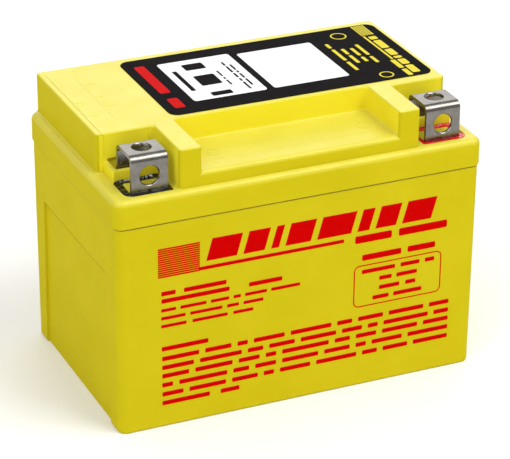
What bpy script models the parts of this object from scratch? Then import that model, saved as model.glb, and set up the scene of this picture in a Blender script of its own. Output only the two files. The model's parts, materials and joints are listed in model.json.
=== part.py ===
"""A 12 V lithium motorcycle battery: a drafted case, a stepped lid and two folded plate terminals, around
four cylindrical cells with their holders, links and protection board.

Metres, +Z up. The origin is the centre of the underside. +X runs along the length towards the positive
terminal, and -Y is the printed front. The sizes below are in millimetres, and are turned into metres as each
mesh is made.
"""

import math

import bmesh
import bpy
from mathutils import Vector

MM = 0.001
GAP = 0.3  # left between any two pieces that touch
REACH = 2.0  # how far a cutter goes past the face it opens
BITE = 1.0  # how far a block that is joined on goes into its neighbour
OFFSET = 0.1  # keeps two joined blocks from having faces in one plane

# The standard battery outline.
LENGTH = 113.0
WIDTH = 70.0
HEIGHT = 85.0

# The lid.
SEAM_Z = 64.15
RIM_TOP = 72.8
RIM_CORNER = 3.0
RIM_ROUND = 1.7
RIM_FOOT_ROUND = 0.5
LABEL_THICKNESS = 0.15
LABEL_GLUE = 0.25
PLATEAU_TOP = HEIGHT - LABEL_THICKNESS - LABEL_GLUE
PLATEAU_END_INSET = 2.4
PLATEAU_BACK_INSET = 0.7
PLATEAU_CORNER = 1.0
PLATEAU_ROUND = 0.5
FRONT_FACE_Y = -33.15
POCKET_WALL_Y = -14.5
SHELF_WALL_Y = -12.35
SHELF_TOP = 77.1
SHELF_CORNER = 1.6
RIB_INNER_X = 30.2
RIB_OUTER_X = 36.8
LID_WALL = 2.0
LID_UNDERSIDE = 69.3
SKIRT_INNER = (54.9, 33.75)
SKIRT_CORNER = 2.0

# The case.
CASE_TOP_HALF = (56.1, 34.65)
CASE_BOTTOM_HALF = (55.8, 34.3)
CASE_CORNER = 2.7
CASE_FOOT_ROUND = 0.8
CASE_FLOOR = 2.4
CASE_LIP_TOP = 68.5
CASE_LIP_HALF = (54.6, 33.45)
CASE_LIP_CORNER = 1.9
CAVITY_HALF = (53.1, 32.3)
CAVITY_CORNER = 1.2
RECESS_DEPTH = 0.9
RECESS_TOP = 47.5
RECESS_HALF_BOTTOM = 26.8
RECESS_HALF_TOP = 25.3

# The terminals: a plate folded into an upside-down U, with one leg that goes on into the lid.
TERMINALS = (("negative", -1, -44.6), ("positive", 1, 45.4))  # name, side, and x of the centre
TERMINAL_WIDTH = 10.9
TERMINAL_PLATE = 1.0
TERMINAL_BEND = 2.2
TERMINAL_FRONT_Y = -30.7
TERMINAL_BACK_Y = -19.4
TERMINAL_TOP = 83.6
TERMINAL_FOOT = 71.5
FRONT_HOLE_Z = 77.5
FRONT_HOLE_RADIUS = 3.1
TOP_HOLE_Y = -24.7
TOP_HOLE_RADIUS = 2.9
LEG_WIDTH = 7.0
LEG_TOP = 70.4
LEG_BOTTOM = 58.5

# The joint between each leg and the bar behind it.
JOINT_Z = 62.6
JOINT_HOLE_RADIUS = 2.3
JOINT_SCREW_RADIUS = 2.0
JOINT_SCREW_LENGTH = 6.0
JOINT_HEAD_RADIUS = 3.6
JOINT_HEAD_HEIGHT = 2.2
JOINT_HEAD_BEVEL = 0.4
JOINT_NUT_RADIUS = 3.9
JOINT_NUT_HEIGHT = 2.4

# The well that each terminal stands in. Across its width, "outer" is away from the terminal's centre on the
# free side, and "inner" is on the side of the rib. The groove runs all round an island of the lid.
COLLAR_TOP = 76.2
COLLAR_FRONT_Y = -21.6
COLLAR_OUTER = 7.2
SLOT_HALF = 6.1
SLOT_FRONT_Y = -20.7
SLOT_BACK_Y = -13.7
SLOT_TOP = 76.9
GROOVE_FLOOR = 71.2
GROOVE_OUTER = 7.5
GROOVE_INNER = 6.6
GROOVE_CORNER = 2.6
GROOVE_FRONT_Y = -32.2
GROOVE_BACK_Y = -21.9
ISLAND_HALF = 5.3
ISLAND_FRONT_Y = -29.4
ISLAND_BACK_Y = -23.3
SEAL_TOP = 72.6

# The label on the lid.
LABEL_X = (-29.9, 52.6)
LABEL_Y = (-10.9, 31.3)
LABEL_CORNER = 3.0

# The cells, two by two.
CELL_RADIUS = 13.0
CELL_EDGE = 0.8
CELL_BOTTOM = 5.0
CELL_TOP = 70.0
CELL_PITCH = 27.5
BUTTON_RADIUS = 4.5
BUTTON_HEIGHT = 0.9
RING_INNER = 6.0
RING_OUTER = 12.2
RING_THICKNESS = 0.25

# The two cell holders, and the posts on the upper one.
HOLDER_HALF = 28.5
HOLDER_CORNER = 2.0
HOLDER_HEIGHT = 10.0
HOLDER_CORE_RADIUS = 4.0
UPPER_HOLDER_BOTTOM = 56.0
POST_RADIUS = 2.8
POST_PILOT_RADIUS = 1.5
POST_PILOT_DEPTH = 6.0
POST_X = 25.5
POST_Y = (0.0, 26.5)

# The metal between the cells, the board and the terminals.
LINK_THICKNESS = 0.4
LINK_WIDTH = 10.0
TONGUE_HALF = 2.0
TONGUE_REACH = 2.2
TAB_RISER_Y = -6.5
BAR_THICKNESS = 0.8
BAR_WIDTH = 8.4
BAR_LOW = 67.2
BAR_RISER_Y = -6.0
BAR_SET_IN = 0.2
FLANGE_HALF = 4.0

# The board and what is on it. A size is along X, along Y and the height.
BOARD_BOTTOM = 75.0
BOARD_THICKNESS = 1.6
BOARD_X = (-47.0, 47.0)
BOARD_Y = (-7.5, 29.5)
BOARD_CORNER = 1.5
BOARD_HOLE_RADIUS = 1.7
BOARD_SCREW_RADIUS = 1.2
BOARD_SCREW_LENGTH = 6.0
BOARD_HEAD_RADIUS = 2.6
BOARD_HEAD_HEIGHT = 1.9
BOARD_HEAD_BEVEL = 0.7
MOSFET_SIZE = (6.6, 9.8, 2.3)
MOSFET_START = (-41.6, 14.0)
MOSFET_PITCH = 8.4
RESISTOR_SIZE = (3.2, 6.4, 0.7)
RESISTOR_START = (13.0, 15.0)
RESISTOR_PITCH = 6.0
SHUNT_SIZE = (9.0, 4.5, 1.2)
SHUNT_PLACE = (-36.0, 6.0)
CONTROLLER_SIZE = (9.0, 9.0, 1.5)
CONTROLLER_PLACE = (2.0, 6.0)
CONNECTOR_SIZE = (13.0, 6.0, 4.8)
CONNECTOR_PLACE = (38.0, -2.5)

# The sense wires.
WIRE_RADIUS = 0.7
WIRE_X = 29.8
WIRE_TOP = BOARD_BOTTOM - 0.5
WIRE_ABOVE_CELLS = 72.0
WIRE_BELOW_CELLS = 0.5  # how far the two outer wires reach below the cells' undersides

# The foam.
FOAM_HALF_Y = 32.0
FOAM_CORNER = 1.5
FLOOR_PAD_HALF_X = 30.7
FLOOR_PAD_THICKNESS = 1.2
SIDE_FOAM_X = 31.1
SIDE_FOAM_TOP = 56.0
FACE_PAD_Y = 28.9
FACE_PAD_Z = (6.0, 60.0)
LID_PAD_X = (-11.0, -4.0)
LID_PAD_Y = (-2.0, 22.0)

# Colour, roughness and metallic value.
YELLOW_PLASTIC = ((0.72, 0.60, 0.035), 0.35, 0.0)
LABEL_FILM = ((0.018, 0.015, 0.016), 0.3, 0.0)
TIN_PLATE = ((0.62, 0.60, 0.56), 0.25, 1.0)
BLACK_RESIN = ((0.012, 0.012, 0.012), 0.15, 0.0)
RED_RESIN = ((0.62, 0.02, 0.015), 0.15, 0.0)
CELL_SLEEVE = ((0.05, 0.16, 0.42), 0.4, 0.0)
INSULATING_PAPER = ((0.80, 0.78, 0.70), 0.8, 0.0)
HOLDER_PLASTIC = ((0.03, 0.03, 0.032), 0.6, 0.0)
NICKEL_STRIP = ((0.68, 0.66, 0.61), 0.3, 1.0)
COPPER_BAR = ((0.80, 0.45, 0.28), 0.3, 1.0)
CIRCUIT_BOARD = ((0.02, 0.19, 0.07), 0.4, 0.0)
CHIP_PACKAGE = ((0.02, 0.02, 0.022), 0.5, 0.0)
RESISTOR_CERAMIC = ((0.72, 0.70, 0.62), 0.5, 0.0)
CONNECTOR_PLASTIC = ((0.82, 0.81, 0.76), 0.5, 0.0)
STEEL_FIXING = ((0.55, 0.55, 0.56), 0.3, 1.0)
WIRE_INSULATION = ((0.60, 0.03, 0.02), 0.5, 0.0)
FOAM = ((0.10, 0.10, 0.11), 0.95, 0.0)


# ---------------------------------------------------------------- outlines


def arc(centre_x, centre_y, radius, start, end, steps):
    """Points along an arc in the plane, from one angle to another."""
    points = []
    for step in range(steps + 1):
        angle = start + (end - start) * step / steps
        points.append((centre_x + radius * math.cos(angle), centre_y + radius * math.sin(angle)))
    return points


def outline(corners, inset=0.0, steps=4):
    """A closed outline, anticlockwise, through (x, y, radius) corners, moved inwards by inset.

    A corner that turns left shrinks its radius as the outline moves in, and one that turns right grows it.
    """
    least_radius = 0.05
    points = []
    count = len(corners)
    for index, (x, y, radius) in enumerate(corners):
        here = Vector((x, y))
        arriving = (here - Vector(corners[index - 1][:2])).normalized()
        leaving = (Vector(corners[(index + 1) % count][:2]) - here).normalized()
        turn = math.atan2(arriving.cross(leaving), arriving.dot(leaving))
        left = 1.0 if turn > 0 else -1.0
        in_arriving = Vector((-arriving.y, arriving.x))
        in_leaving = Vector((-leaving.y, leaving.x))
        bisector = (in_arriving + in_leaving).normalized()
        stretch = 1.0 / bisector.dot(in_arriving)
        moved = here + bisector * inset * stretch
        round_radius = max(radius - left * inset, least_radius)
        centre = moved + bisector * left * round_radius * stretch
        start = math.atan2(-left * in_arriving.y, -left * in_arriving.x)
        points += arc(centre.x, centre.y, round_radius, start, start + turn, steps)
    return points


def rectangle(x_range, y_range, radius, inset=0.0, steps=4):
    """A rounded rectangle between two x and two y values."""
    corners = [
        (x_range[0], y_range[0], radius),
        (x_range[1], y_range[0], radius),
        (x_range[1], y_range[1], radius),
        (x_range[0], y_range[1], radius),
    ]
    return outline(corners, inset, steps)


def centred(half, radius, inset=0.0, steps=4):
    """A rounded rectangle centred on the origin."""
    return rectangle((-half[0], half[0]), (-half[1], half[1]), radius, inset, steps)


def at_terminal(x, side, corners):
    """Corners drawn from a terminal's centre with +x to its free side, moved to one of the two terminals."""
    placed = [(x + side * across, y, radius) for across, y, radius in corners]
    if side < 0:
        placed.reverse()
    return placed


# ---------------------------------------------------------------- meshes


def add_object(name, builder):
    """A new object in the scene from a finished bmesh, with its faces turned outwards."""
    bmesh.ops.recalc_face_normals(builder, faces=builder.faces)
    mesh = bpy.data.meshes.new(name)
    builder.to_mesh(mesh)
    builder.free()
    piece = bpy.data.objects.new(name, mesh)
    bpy.context.collection.objects.link(piece)
    return piece


def skin(name, rings):
    """A solid through rings of (x, y, z) points in millimetres, each with the same number of points."""
    builder = bmesh.new()
    loops = []
    for ring in rings:
        loops.append([builder.verts.new(Vector(point) * MM) for point in ring])
    count = len(loops[0])
    for lower, upper in zip(loops, loops[1:]):
        for index in range(count):
            after = (index + 1) % count
            builder.faces.new((lower[index], lower[after], upper[after], upper[index]))
    builder.faces.new(reversed(loops[0]))
    builder.faces.new(loops[-1])
    return add_object(name, builder)


def loft(name, sections):
    """A solid through (outline, z) sections."""
    return skin(name, [[(x, y, z) for x, y in points] for points, z in sections])


def prism(name, points, z_range):
    """An outline pulled straight up between two heights."""
    return loft(name, [(points, z_range[0]), (points, z_range[1])])


def side_extrusion(name, points, x_range):
    """A solid whose (y, z) outline is pulled along x."""
    return skin(name, [[(x, y, z) for y, z in points] for x in x_range])


def box(name, x_range, y_range, z_range):
    """A plain block."""
    points = [
        (x_range[0], y_range[0]),
        (x_range[1], y_range[0]),
        (x_range[1], y_range[1]),
        (x_range[0], y_range[1]),
    ]
    return prism(name, points, z_range)


def turned(name, profile, centre, axis="Z", segments=24):
    """A solid of revolution from (radius, height) points. A radius of zero closes an end on the axis."""
    builder = bmesh.new()
    rings = []
    for radius, height in profile:
        if radius == 0.0:
            rings.append([builder.verts.new(place(0.0, 0.0, height, centre, axis))])
            continue
        ring = []
        for x, y in arc(0.0, 0.0, radius, 0.0, math.tau, segments)[:-1]:
            ring.append(builder.verts.new(place(x, y, height, centre, axis)))
        rings.append(ring)
    pairs = list(zip(rings, rings[1:]))
    if profile[0][0] > 0.0:
        pairs.append((rings[-1], rings[0]))
    for lower, upper in pairs:
        for index in range(segments):
            after = (index + 1) % segments
            corners = [lower[index % len(lower)], lower[after % len(lower)]]
            corners += [upper[after % len(upper)], upper[index % len(upper)]]
            builder.faces.new(list(dict.fromkeys(corners)))
    return add_object(name, builder)


def place(x, y, height, centre, axis):
    """A point of a turned piece, with its own axis along Z or along Y."""
    local = Vector((x, y, height)) if axis == "Z" else Vector((x, height, y))
    return (Vector(centre) + local) * MM


def rod(name, radius, centre, length, axis="Z", segments=24):
    """A plain cylinder, half its length to each side of its centre."""
    half = length / 2
    return turned(name, [(0.0, -half), (radius, -half), (radius, half), (0.0, half)], centre, axis, segments)


def combine(piece, tool, operation):
    """Cuts tool from piece, or joins it on, and removes the tool."""
    modifier = piece.modifiers.new("combine", "BOOLEAN")
    modifier.operation = operation
    modifier.solver = "EXACT"
    modifier.object = tool
    graph = bpy.context.evaluated_depsgraph_get()
    result = bpy.data.meshes.new_from_object(piece.evaluated_get(graph))
    piece.modifiers.clear()
    piece.data = result
    bpy.data.objects.remove(tool, do_unlink=True)


def cut(piece, tool):
    combine(piece, tool, "DIFFERENCE")


def join(piece, tool):
    combine(piece, tool, "UNION")


def finish(piece, material_values, smooth=True):
    """Gives a piece its own material, and smooth shading that stays crisp at real edges."""
    colour, roughness, metallic = material_values
    material = bpy.data.materials.new(piece.name + "_material")
    material.use_nodes = True
    shader = material.node_tree.nodes["Principled BSDF"]
    shader.inputs["Base Color"].default_value = (*colour, 1.0)
    shader.inputs["Roughness"].default_value = roughness
    shader.inputs["Metallic"].default_value = metallic
    piece.data.materials.clear()
    piece.data.materials.append(material)
    if smooth:
        piece.data.shade_smooth()
        piece.data.set_sharp_from_angle(angle=math.radians(35))
    return piece


# ---------------------------------------------------------------- the casing


def make_case():
    """The drafted box that holds the cells, with a lip that the lid's skirt goes over."""
    sections = []
    steps = 2
    for step in range(steps + 1):
        angle = math.pi / 2 * step / steps
        inset = CASE_FOOT_ROUND * (1 - math.sin(angle))
        height = CASE_FOOT_ROUND * (1 - math.cos(angle))
        sections.append((centred(CASE_BOTTOM_HALF, CASE_CORNER, inset), height))
    sections.append((centred(CASE_TOP_HALF, CASE_CORNER), SEAM_Z - GAP / 2))
    case = loft("case", sections)
    join(case, prism("lip", centred(CASE_LIP_HALF, CASE_LIP_CORNER), (SEAM_Z - REACH, CASE_LIP_TOP)))
    for side in (-1, 1):
        cut(case, recess_cutter(side))
    cut(case, prism("cavity", centred(CAVITY_HALF, CAVITY_CORNER), (CASE_FLOOR, CASE_LIP_TOP + REACH)))
    return finish(case, YELLOW_PLASTIC)


def recess_cutter(side):
    """The shallow panel on one short end, open at the foot, a little wider there, drafted like the case."""
    lean = (CASE_TOP_HALF[0] - CASE_BOTTOM_HALF[0]) / SEAM_Z
    rings = []
    for z, half_width in ((-REACH, RECESS_HALF_BOTTOM), (RECESS_TOP, RECESS_HALF_TOP)):
        inner = side * (CASE_BOTTOM_HALF[0] - RECESS_DEPTH + lean * z)
        outer = side * LENGTH
        ring = []
        for x, y in ((inner, -half_width), (outer, -half_width), (outer, half_width), (inner, half_width)):
            ring.append((x, y, z))
        rings.append(ring)
    return skin("recess", rings)


def make_lid():
    """The stepped lid, with a rim, a raised plateau with two forward ribs, a lower shelf and two wells."""
    lid = loft("lid", rim_sections())
    join(lid, loft("plateau", plateau_sections()))
    cut(lid, shelf_cutter())
    for _, side, x in TERMINALS:
        join(lid, collar_block(x, side))
    cut(lid, prism("skirt", centred(SKIRT_INNER, SKIRT_CORNER), (SEAM_Z - REACH, LID_UNDERSIDE)))
    for hollow in lid_hollows():
        cut(lid, hollow)
    for _, side, x in TERMINALS:
        slot_x = (x - SLOT_HALF, x + SLOT_HALF)
        cut(lid, box("slot", slot_x, (SLOT_FRONT_Y, SLOT_BACK_Y), (SEAM_Z - REACH, SLOT_TOP)))
        cut(lid, groove_cutter(x, side))
    return finish(lid, YELLOW_PLASTIC)


def rim_sections():
    """The rim's outer sections, from its small foot rounding to its larger top one."""
    half = (LENGTH / 2, WIDTH / 2)
    low = SEAM_Z + GAP / 2
    sections = [(centred(half, RIM_CORNER, RIM_FOOT_ROUND), low)]
    sections.append((centred(half, RIM_CORNER), low + RIM_FOOT_ROUND))
    steps = 3
    for step in range(steps + 1):
        angle = math.pi / 2 * step / steps
        inset = RIM_ROUND * (1 - math.cos(angle))
        height = RIM_TOP - RIM_ROUND * (1 - math.sin(angle))
        sections.append((centred(half, RIM_CORNER, inset), height))
    return sections


def plateau_sections():
    """The raised part, as one outline with the two corner wells left out."""
    end = LENGTH / 2 - PLATEAU_END_INSET
    back = WIDTH / 2 - PLATEAU_BACK_INSET
    radius = PLATEAU_CORNER
    corners = [
        (-RIB_OUTER_X, FRONT_FACE_Y, radius),
        (RIB_OUTER_X, FRONT_FACE_Y, radius),
        (RIB_OUTER_X, POCKET_WALL_Y, radius),
        (end, POCKET_WALL_Y, radius),
        (end, back, radius),
        (-end, back, radius),
        (-end, POCKET_WALL_Y, radius),
        (-RIB_OUTER_X, POCKET_WALL_Y, radius),
    ]
    sections = [(outline(corners), RIM_TOP - BITE)]
    steps = 2
    for step in range(steps + 1):
        angle = math.pi / 2 * step / steps
        inset = PLATEAU_ROUND * (1 - math.cos(angle))
        height = PLATEAU_TOP - PLATEAU_ROUND * (1 - math.sin(angle))
        sections.append((outline(corners, inset), height))
    return sections


def shelf_cutter():
    """What is cut away above the shelf, between the ribs. Its flared top rounds the edges it leaves."""
    x_range = (-RIB_INNER_X, RIB_INNER_X)
    y_range = (-WIDTH, SHELF_WALL_Y)
    sections = [(rectangle(x_range, y_range, SHELF_CORNER), SHELF_TOP)]
    steps = 2
    for step in range(steps + 1):
        angle = math.pi / 2 * step / steps
        flare = PLATEAU_ROUND * (1 - math.cos(angle))
        height = PLATEAU_TOP - PLATEAU_ROUND * (1 - math.sin(angle))
        sections.append((rectangle(x_range, y_range, SHELF_CORNER, -flare), height))
    sections.append((rectangle(x_range, y_range, SHELF_CORNER, -PLATEAU_ROUND - OFFSET), HEIGHT + REACH))
    return loft("shelf", sections)


def collar_block(x, side):
    """The raised block around a terminal's slot, from its free side to the rib."""
    x_range = sorted((x + side * COLLAR_OUTER, side * (RIB_OUTER_X - BITE)))
    return box("collar", x_range, (COLLAR_FRONT_Y, POCKET_WALL_Y + BITE), (RIM_TOP - BITE, COLLAR_TOP))


def lid_hollows():
    """What is cored out from below, to leave even walls under the plateau, the shelf and the ribs."""
    low = SEAM_Z - REACH
    end = LENGTH / 2 - PLATEAU_END_INSET - LID_WALL
    back = WIDTH / 2 - PLATEAU_BACK_INSET - LID_WALL
    front = SHELF_WALL_Y + LID_WALL
    rib_front = FRONT_FACE_Y + LID_WALL
    shelf_end = RIB_INNER_X - LID_WALL
    roof = PLATEAU_TOP - LID_WALL
    under_plateau = rectangle((-end, end), (front, back), PLATEAU_CORNER)
    hollows = [
        prism("under_plateau", under_plateau, (low, roof)),
        box("under_shelf", (-shelf_end, shelf_end), (rib_front, front + BITE), (low, SHELF_TOP - LID_WALL)),
    ]
    for side in (-1, 1):
        x_range = sorted((side * (RIB_INNER_X + LID_WALL), side * (RIB_OUTER_X - LID_WALL)))
        hollows.append(box("under_rib", x_range, (rib_front, front + BITE), (low, roof - OFFSET)))
    return hollows


def well_outline(x, side, inset=0.0):
    """The groove's outer edge, with its large corner at the corner of the battery."""
    soft = 0.8
    corners = [
        (-GROOVE_INNER, GROOVE_BACK_Y, soft),
        (-GROOVE_INNER, GROOVE_FRONT_Y, soft),
        (GROOVE_OUTER, GROOVE_FRONT_Y, GROOVE_CORNER),
        (GROOVE_OUTER, GROOVE_BACK_Y, soft),
    ]
    return outline(at_terminal(x, side, corners), inset, steps=3)


def groove_cutter(x, side):
    """The ring that is cut out of the lid around the foot of a terminal."""
    groove = prism("groove", well_outline(x, side), (GROOVE_FLOOR, RIM_TOP + REACH))
    island_x = (x - ISLAND_HALF, x + ISLAND_HALF)
    island_z = (GROOVE_FLOOR - REACH, RIM_TOP + 2 * REACH)
    cut(groove, box("island", island_x, (ISLAND_FRONT_Y, ISLAND_BACK_Y), island_z))
    return groove


def make_label():
    """The printed film on the plateau."""
    points = rectangle(LABEL_X, LABEL_Y, LABEL_CORNER)
    return finish(prism("top_label", points, (HEIGHT - LABEL_THICKNESS, HEIGHT)), LABEL_FILM)


# ---------------------------------------------------------------- the terminals


def terminal_profile():
    """The folded plate from the side: front plate, bend, top plate, bend, and the back plate that goes down.

    The points just above the rim give the front plate an edge there, so the face above it is its own face.
    """
    front = TERMINAL_FRONT_Y
    back = TERMINAL_BACK_Y
    top = TERMINAL_TOP
    plate = TERMINAL_PLATE
    inner = TERMINAL_BEND - plate
    rim_line = RIM_TOP + OFFSET
    points = [(front, TERMINAL_FOOT), (front + plate, TERMINAL_FOOT), (front + plate, rim_line)]
    points += arc(front + TERMINAL_BEND, top - TERMINAL_BEND, inner, math.pi, math.pi / 2, 3)
    points += arc(back - TERMINAL_BEND, top - TERMINAL_BEND, inner, math.pi / 2, 0.0, 3)
    points += [(back - plate, LEG_BOTTOM), (back, LEG_BOTTOM)]
    points += arc(back - TERMINAL_BEND, top - TERMINAL_BEND, TERMINAL_BEND, 0.0, math.pi / 2, 4)
    points += arc(front + TERMINAL_BEND, top - TERMINAL_BEND, TERMINAL_BEND, math.pi / 2, math.pi, 4)
    points.append((front, rim_line))
    return points


def make_terminal(name, x):
    """One terminal, with its two bolt holes, and a narrow leg below the lid with a hole for a joint screw."""
    half = TERMINAL_WIDTH / 2
    terminal = side_extrusion(name, terminal_profile(), (x - half, x + half))
    leg_y = (TERMINAL_BACK_Y - TERMINAL_PLATE - REACH, TERMINAL_BACK_Y + REACH)
    for side in (-1, 1):
        x_range = sorted((x + side * LEG_WIDTH / 2, x + side * (half + REACH)))
        cut(terminal, box("leg_side", x_range, leg_y, (LEG_BOTTOM - REACH, LEG_TOP)))
    through = TERMINAL_PLATE + 2 * BITE
    front_centre = (x, TERMINAL_FRONT_Y + TERMINAL_PLATE / 2, FRONT_HOLE_Z)
    cut(terminal, rod("front_hole", FRONT_HOLE_RADIUS, front_centre, through, "Y"))
    top_centre = (x, TOP_HOLE_Y, TERMINAL_TOP - TERMINAL_PLATE / 2)
    cut(terminal, rod("top_hole", TOP_HOLE_RADIUS, top_centre, through))
    joint_centre = (x, TERMINAL_BACK_Y - TERMINAL_PLATE / 2, JOINT_Z)
    cut(terminal, rod("joint_hole", JOINT_HOLE_RADIUS, joint_centre, through, "Y", 16))
    return finish(terminal, TIN_PLATE)


def make_seal(name, x, side, material_values):
    """The resin cast around the foot of a terminal, a ring inside its groove and in front of the plate."""
    seal = prism(name, well_outline(x, side, GAP), (GROOVE_FLOOR + GAP, SEAL_TOP))
    plate_half = TERMINAL_WIDTH / 2 + GAP
    middle_y = (TERMINAL_FRONT_Y - GAP, ISLAND_BACK_Y + GAP)
    middle_z = (GROOVE_FLOOR - REACH, SEAL_TOP + REACH)
    cut(seal, box("middle", (x - plate_half, x + plate_half), middle_y, middle_z))
    return finish(seal, material_values)


def make_joint_fixings(name, x):
    """The screw and nut that clamp a bar to its terminal leg, with the head to the front."""
    head_front = TERMINAL_BACK_Y - TERMINAL_PLATE - GAP - JOINT_HEAD_HEIGHT
    profile = [
        (0.0, 0.0),
        (JOINT_HEAD_RADIUS - JOINT_HEAD_BEVEL, 0.0),
        (JOINT_HEAD_RADIUS, JOINT_HEAD_BEVEL),
        (JOINT_HEAD_RADIUS, JOINT_HEAD_HEIGHT),
        (JOINT_SCREW_RADIUS, JOINT_HEAD_HEIGHT),
        (JOINT_SCREW_RADIUS, JOINT_HEAD_HEIGHT + JOINT_SCREW_LENGTH),
        (0.0, JOINT_HEAD_HEIGHT + JOINT_SCREW_LENGTH),
    ]
    finish(turned(f"{name}_joint_screw", profile, (x, head_front, JOINT_Z), "Y", 16), STEEL_FIXING)
    nut_front = TERMINAL_BACK_Y + GAP + BAR_THICKNESS + GAP
    bore = JOINT_SCREW_RADIUS + GAP
    profile = [
        (bore, 0.0),
        (JOINT_NUT_RADIUS, 0.0),
        (JOINT_NUT_RADIUS, JOINT_NUT_HEIGHT),
        (bore, JOINT_NUT_HEIGHT),
    ]
    finish(turned(f"{name}_joint_nut", profile, (x, nut_front, JOINT_Z), "Y", 6), STEEL_FIXING, smooth=False)


# ---------------------------------------------------------------- the cells


def cell_places():
    """Each cell's number, its centre, and whether its positive button points up, in the series' order."""
    half = CELL_PITCH / 2
    return [
        (1, (-half, -half), False),
        (2, (-half, half), True),
        (3, (half, half), False),
        (4, (half, -half), True),
    ]


def make_cells():
    """Four cylindrical cells and the paper ring round each positive button."""
    middle = (CELL_BOTTOM + CELL_TOP) / 2
    half = (CELL_TOP - CELL_BOTTOM) / 2
    shoulder = half - BUTTON_HEIGHT
    ring_low = shoulder + GAP
    ring_high = ring_low + RING_THICKNESS
    profile = [
        (0.0, -half),
        (CELL_RADIUS - CELL_EDGE, -half),
        (CELL_RADIUS, -half + CELL_EDGE),
        (CELL_RADIUS, shoulder - CELL_EDGE),
        (CELL_RADIUS - CELL_EDGE, shoulder),
        (BUTTON_RADIUS, shoulder),
        (BUTTON_RADIUS, half),
        (0.0, half),
    ]
    ring_profile = [
        (RING_INNER, ring_low),
        (RING_OUTER, ring_low),
        (RING_OUTER, ring_high),
        (RING_INNER, ring_high),
    ]
    for number, (x, y), button_up in cell_places():
        up = 1 if button_up else -1
        cell = turned(f"cell_{number}", [(radius, up * z) for radius, z in profile], (x, y, middle), "Z", 32)
        finish(cell, CELL_SLEEVE)
        ring_points = [(radius, up * z) for radius, z in ring_profile]
        finish(turned(f"cell_ring_{number}", ring_points, (x, y, middle), "Z", 20), INSULATING_PAPER)


def make_holder(name, bottom, with_posts):
    """A block with four bores that keeps the cells apart. The upper one carries the board on posts."""
    top = bottom + HOLDER_HEIGHT
    middle = bottom + HOLDER_HEIGHT / 2
    holder = prism(name, centred((HOLDER_HALF, HOLDER_HALF), HOLDER_CORNER, steps=2), (bottom, top))
    if with_posts:
        post_top = BOARD_BOTTOM - GAP
        post_height = post_top - top + REACH
        for x, y in post_places():
            join(holder, rod("post", POST_RADIUS, (x, y, post_top - post_height / 2), post_height, "Z", 12))
            pilot_centre = (x, y, post_top)
            cut(holder, rod("pilot", POST_PILOT_RADIUS, pilot_centre, 2 * POST_PILOT_DEPTH, "Z", 10))
    past_posts = 3 * HOLDER_HEIGHT
    for _, (x, y), _ in cell_places():
        cut(holder, rod("bore", CELL_RADIUS + GAP, (x, y, middle), past_posts, "Z", 32))
    cut(holder, rod("core", HOLDER_CORE_RADIUS, (0, 0, middle), past_posts, "Z", 12))
    return finish(holder, HOLDER_PLASTIC)


def post_places():
    return [(side * POST_X, y) for side in (-1, 1) for y in POST_Y]


# ---------------------------------------------------------------- links and bars


def make_links():
    """The welded strips between the cells, with a tongue on each lower one for its sense wire."""
    half = CELL_PITCH / 2
    near = half - LINK_WIDTH / 2
    far = half + LINK_WIDTH / 2
    lower = (CELL_BOTTOM - GAP - LINK_THICKNESS, CELL_BOTTOM - GAP)
    upper = (CELL_TOP + GAP, CELL_TOP + GAP + LINK_THICKNESS)
    inside = LINK_THICKNESS / 8
    for name, side in (("lower_link_left", -1), ("lower_link_right", 1)):
        link = box(name, sorted((side * near, side * far)), (-far, far), lower)
        tongue_x = sorted((side * half, side * (HOLDER_HALF + TONGUE_REACH)))
        tongue_z = (lower[0] + inside, lower[1] - inside)
        join(link, box("tongue", tongue_x, (-TONGUE_HALF, TONGUE_HALF), tongue_z))
        finish(link, NICKEL_STRIP)
    finish(box("upper_link", (-far, far), (near, far), upper), NICKEL_STRIP)


def make_negative_tab():
    """The strip from the top of the first cell up to the board."""
    half = CELL_PITCH / 2
    low = CELL_TOP + GAP
    high = BOARD_BOTTOM - GAP
    x_range = (-half - LINK_WIDTH / 2, -half + LINK_WIDTH / 2)
    start = -half - LINK_WIDTH / 2
    points = [
        (start, low),
        (TAB_RISER_Y, low),
        (TAB_RISER_Y, high),
        (TAB_RISER_Y - LINK_THICKNESS, high),
        (TAB_RISER_Y - LINK_THICKNESS, low + LINK_THICKNESS),
        (start, low + LINK_THICKNESS),
    ]
    return finish(side_extrusion("negative_cell_tab", points, x_range), NICKEL_STRIP)


def add_flange(bar, x, front_y, top):
    """The bar's end that hangs down behind a terminal's leg, with the hole for the joint screw."""
    x_range = (x - FLANGE_HALF, x + FLANGE_HALF)
    join(bar, box("flange", x_range, (front_y, front_y + BAR_THICKNESS), (LEG_BOTTOM, top - OFFSET)))
    middle_y = front_y + BAR_THICKNESS / 2
    cut(bar, rod("joint_hole", JOINT_HOLE_RADIUS, (x, middle_y, JOINT_Z), BAR_THICKNESS + 2 * BITE, "Y", 16))
    finish(bar, COPPER_BAR)


def make_positive_bar(x):
    """From the top of the last cell, down a step beside the shelf, and along to the positive terminal."""
    half = CELL_PITCH / 2
    front_y = TERMINAL_BACK_Y + GAP
    back_y = -half + BAR_WIDTH / 2
    start_x = half - LINK_WIDTH / 2
    step_end = RIB_INNER_X - LID_WALL - GAP
    step_start = step_end - BAR_THICKNESS
    low = CELL_TOP + GAP
    high = low + BAR_THICKNESS
    level = (BAR_LOW, BAR_LOW + BAR_THICKNESS)
    bar = box("positive_bar", (start_x, step_end), (front_y, back_y), (low, high))
    step_y = (front_y + OFFSET, back_y - OFFSET)
    join(bar, box("step", (step_start, step_end), step_y, (level[0] + OFFSET, high - OFFSET)))
    run_y = (front_y + BAR_SET_IN, back_y - BAR_SET_IN)
    join(bar, box("run", (step_start + OFFSET, x + FLANGE_HALF + BAR_SET_IN), run_y, level))
    add_flange(bar, x, front_y, level[1])


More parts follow.
